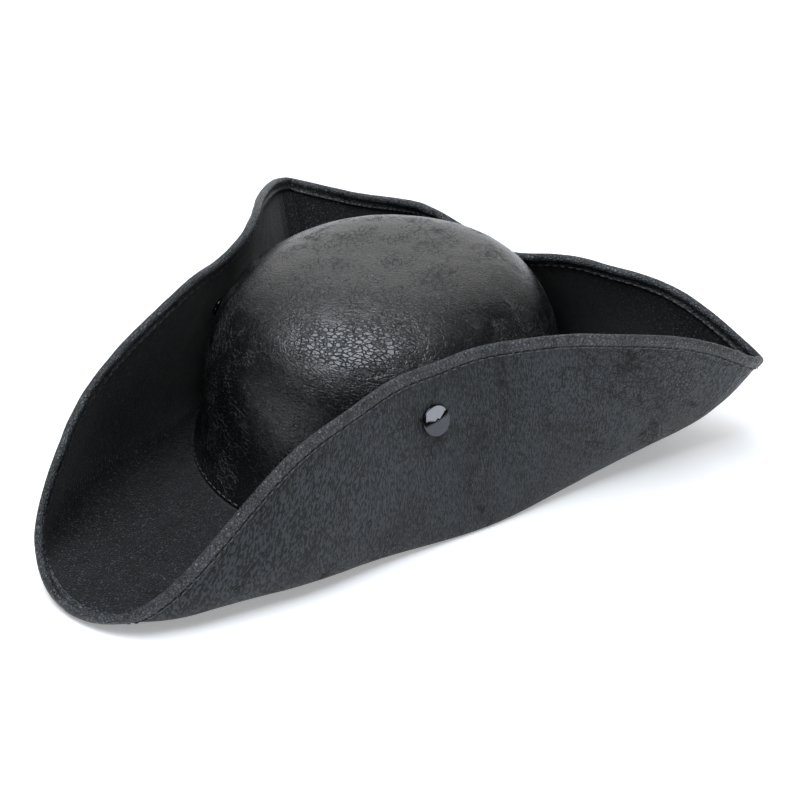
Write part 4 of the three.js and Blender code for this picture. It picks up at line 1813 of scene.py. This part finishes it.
@dataclass(frozen=True)
class Studio:
    """White paper floor in a dim room that glows overhead, behind and in front, and two softboxes."""

    floor_half: float = 6.0
    floor_level: float = -0.2 * MM
    aim_level: float = 60 * MM
    room_level: float = 0.06
    glows: tuple[RoomGlow, ...] = (
        RoomGlow(0, 90, 15, 48, 0.5),
        RoomGlow(-138, 16, 10, 42, 1.2),
        RoomGlow(-10, 50, 6, 25, 1.0),
    )
    lights: tuple[Softbox, ...] = (
        Softbox("overhead_softbox", -22, 76, 1.5, 1.5, 1.15, 6.2, "#eef5ff"),
        Softbox("side_softbox", 108, 12.5, 1.3, 0.85, 0.36, 5.0, "#f6faff"),
    )

    def build(self, paper: bpy.types.Material) -> None:
        """Makes the floor, the room's light and the softboxes.

        Args:
            paper: The floor's finish.
        """
        half, level = self.floor_half, self.floor_level
        corners = [(-half, -half, level), (half, -half, level), (half, half, level), (-half, half, level)]
        mesh = bpy.data.meshes.new("paper_floor")
        mesh.from_pydata(corners, [], [(0, 1, 2, 3)])
        mesh.materials.append(paper)
        floor = bpy.data.objects.new("paper_floor", mesh)
        bpy.context.scene.collection.objects.link(floor)
        self.build_room()
        for light in self.lights:
            light.build(Vector((0, 0, self.aim_level)))
        bpy.context.scene.view_settings.view_transform = "Standard"

    def build_room(self) -> None:
        """Makes the room: an even dim level, with soft patches of light at fixed headings."""
        world = bpy.data.worlds.new("studio_room")
        world.use_nodes = True
        tree = world.node_tree
        tree.nodes.clear()
        outward = add_node(tree, "ShaderNodeTexCoord").outputs["Generated"]
        strength = add_node(tree, "ShaderNodeValue").outputs[0]
        strength.default_value = self.room_level
        for glow in self.glows:
            facing = add_node(tree, "ShaderNodeVectorMath", {"operation": "DOT_PRODUCT"},
                              {0: outward, 1: heading(glow.azimuth_deg, glow.elevation_deg)})
            patch = add_node(tree, "ShaderNodeMapRange", {"interpolation_type": "SMOOTHSTEP"},
                             {"Value": facing.outputs["Value"],
                              "From Min": math.cos(math.radians(glow.edge_deg)),
                              "From Max": math.cos(math.radians(glow.full_deg)),
                              "To Max": glow.strength})
            strength = add_node(tree, "ShaderNodeMath", {"operation": "ADD"},
                                {0: strength, 1: patch.outputs[0]}).outputs[0]
        shade = add_node(tree, "ShaderNodeBackground", None,
                         {"Color": (1, 1, 1, 1), "Strength": strength})
        add_node(tree, "ShaderNodeOutputWorld", None, {"Surface": shade.outputs[0]})
        bpy.context.scene.world = world


def main() -> None:
    """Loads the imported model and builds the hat's pieces in order."""
    logging.basicConfig(level=logging.INFO, format="%(message)s")
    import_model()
    ProductCamera().build()
    brim_shape = BrimShape()
    snap_sizes = SnapSizes()
    finder = SnapFinder(brim_shape, snap_sizes)
    seats = {name: finder.seat(place) for name, place in SNAP_SPOTS.items()}
    dome = CrownDome(brim_shape.crown)
    dome.build(crown_leather(), knit_backing())
    brim = TurnedBrim(brim_shape, tuple(seats.values()))
    brim.build(flap_leather(), brim_suede())
    binding = EdgeBinding(brim_shape, brim)
    binding.build(binding_leather())
    thread = waxed_thread()
    outer_line, inner_line = binding.stitch_lines()
    rim_count = binding.stitch_count(outer_line)
    for number, (name, line) in enumerate((("outside", outer_line), ("inside", inner_line))):
        StitchRun(f"rim_stitches_{name}", line, rim_count, binding.stitch_share * binding.stitch_pitch,
                  binding.thread_radius, number).build(thread, "binding_leather")
    foot_line = dome.stitch_line()
    foot_count = round(line_length(foot_line) / binding.stitch_pitch)
    StitchRun("foot_stitches", foot_line, foot_count, dome.stitch_share * binding.stitch_pitch,
              binding.thread_radius, dome.stitch_seed).build(thread, "crown_leather")
    metal = black_nickel()
    studs = SnapStuds(snap_sizes)
    for name, seat in seats.items():
        studs.cap(name, seat, metal)
        studs.stud(name, seat, metal)
    Studio().build(studio_paper())


if __name__ == "__main__":
    main()
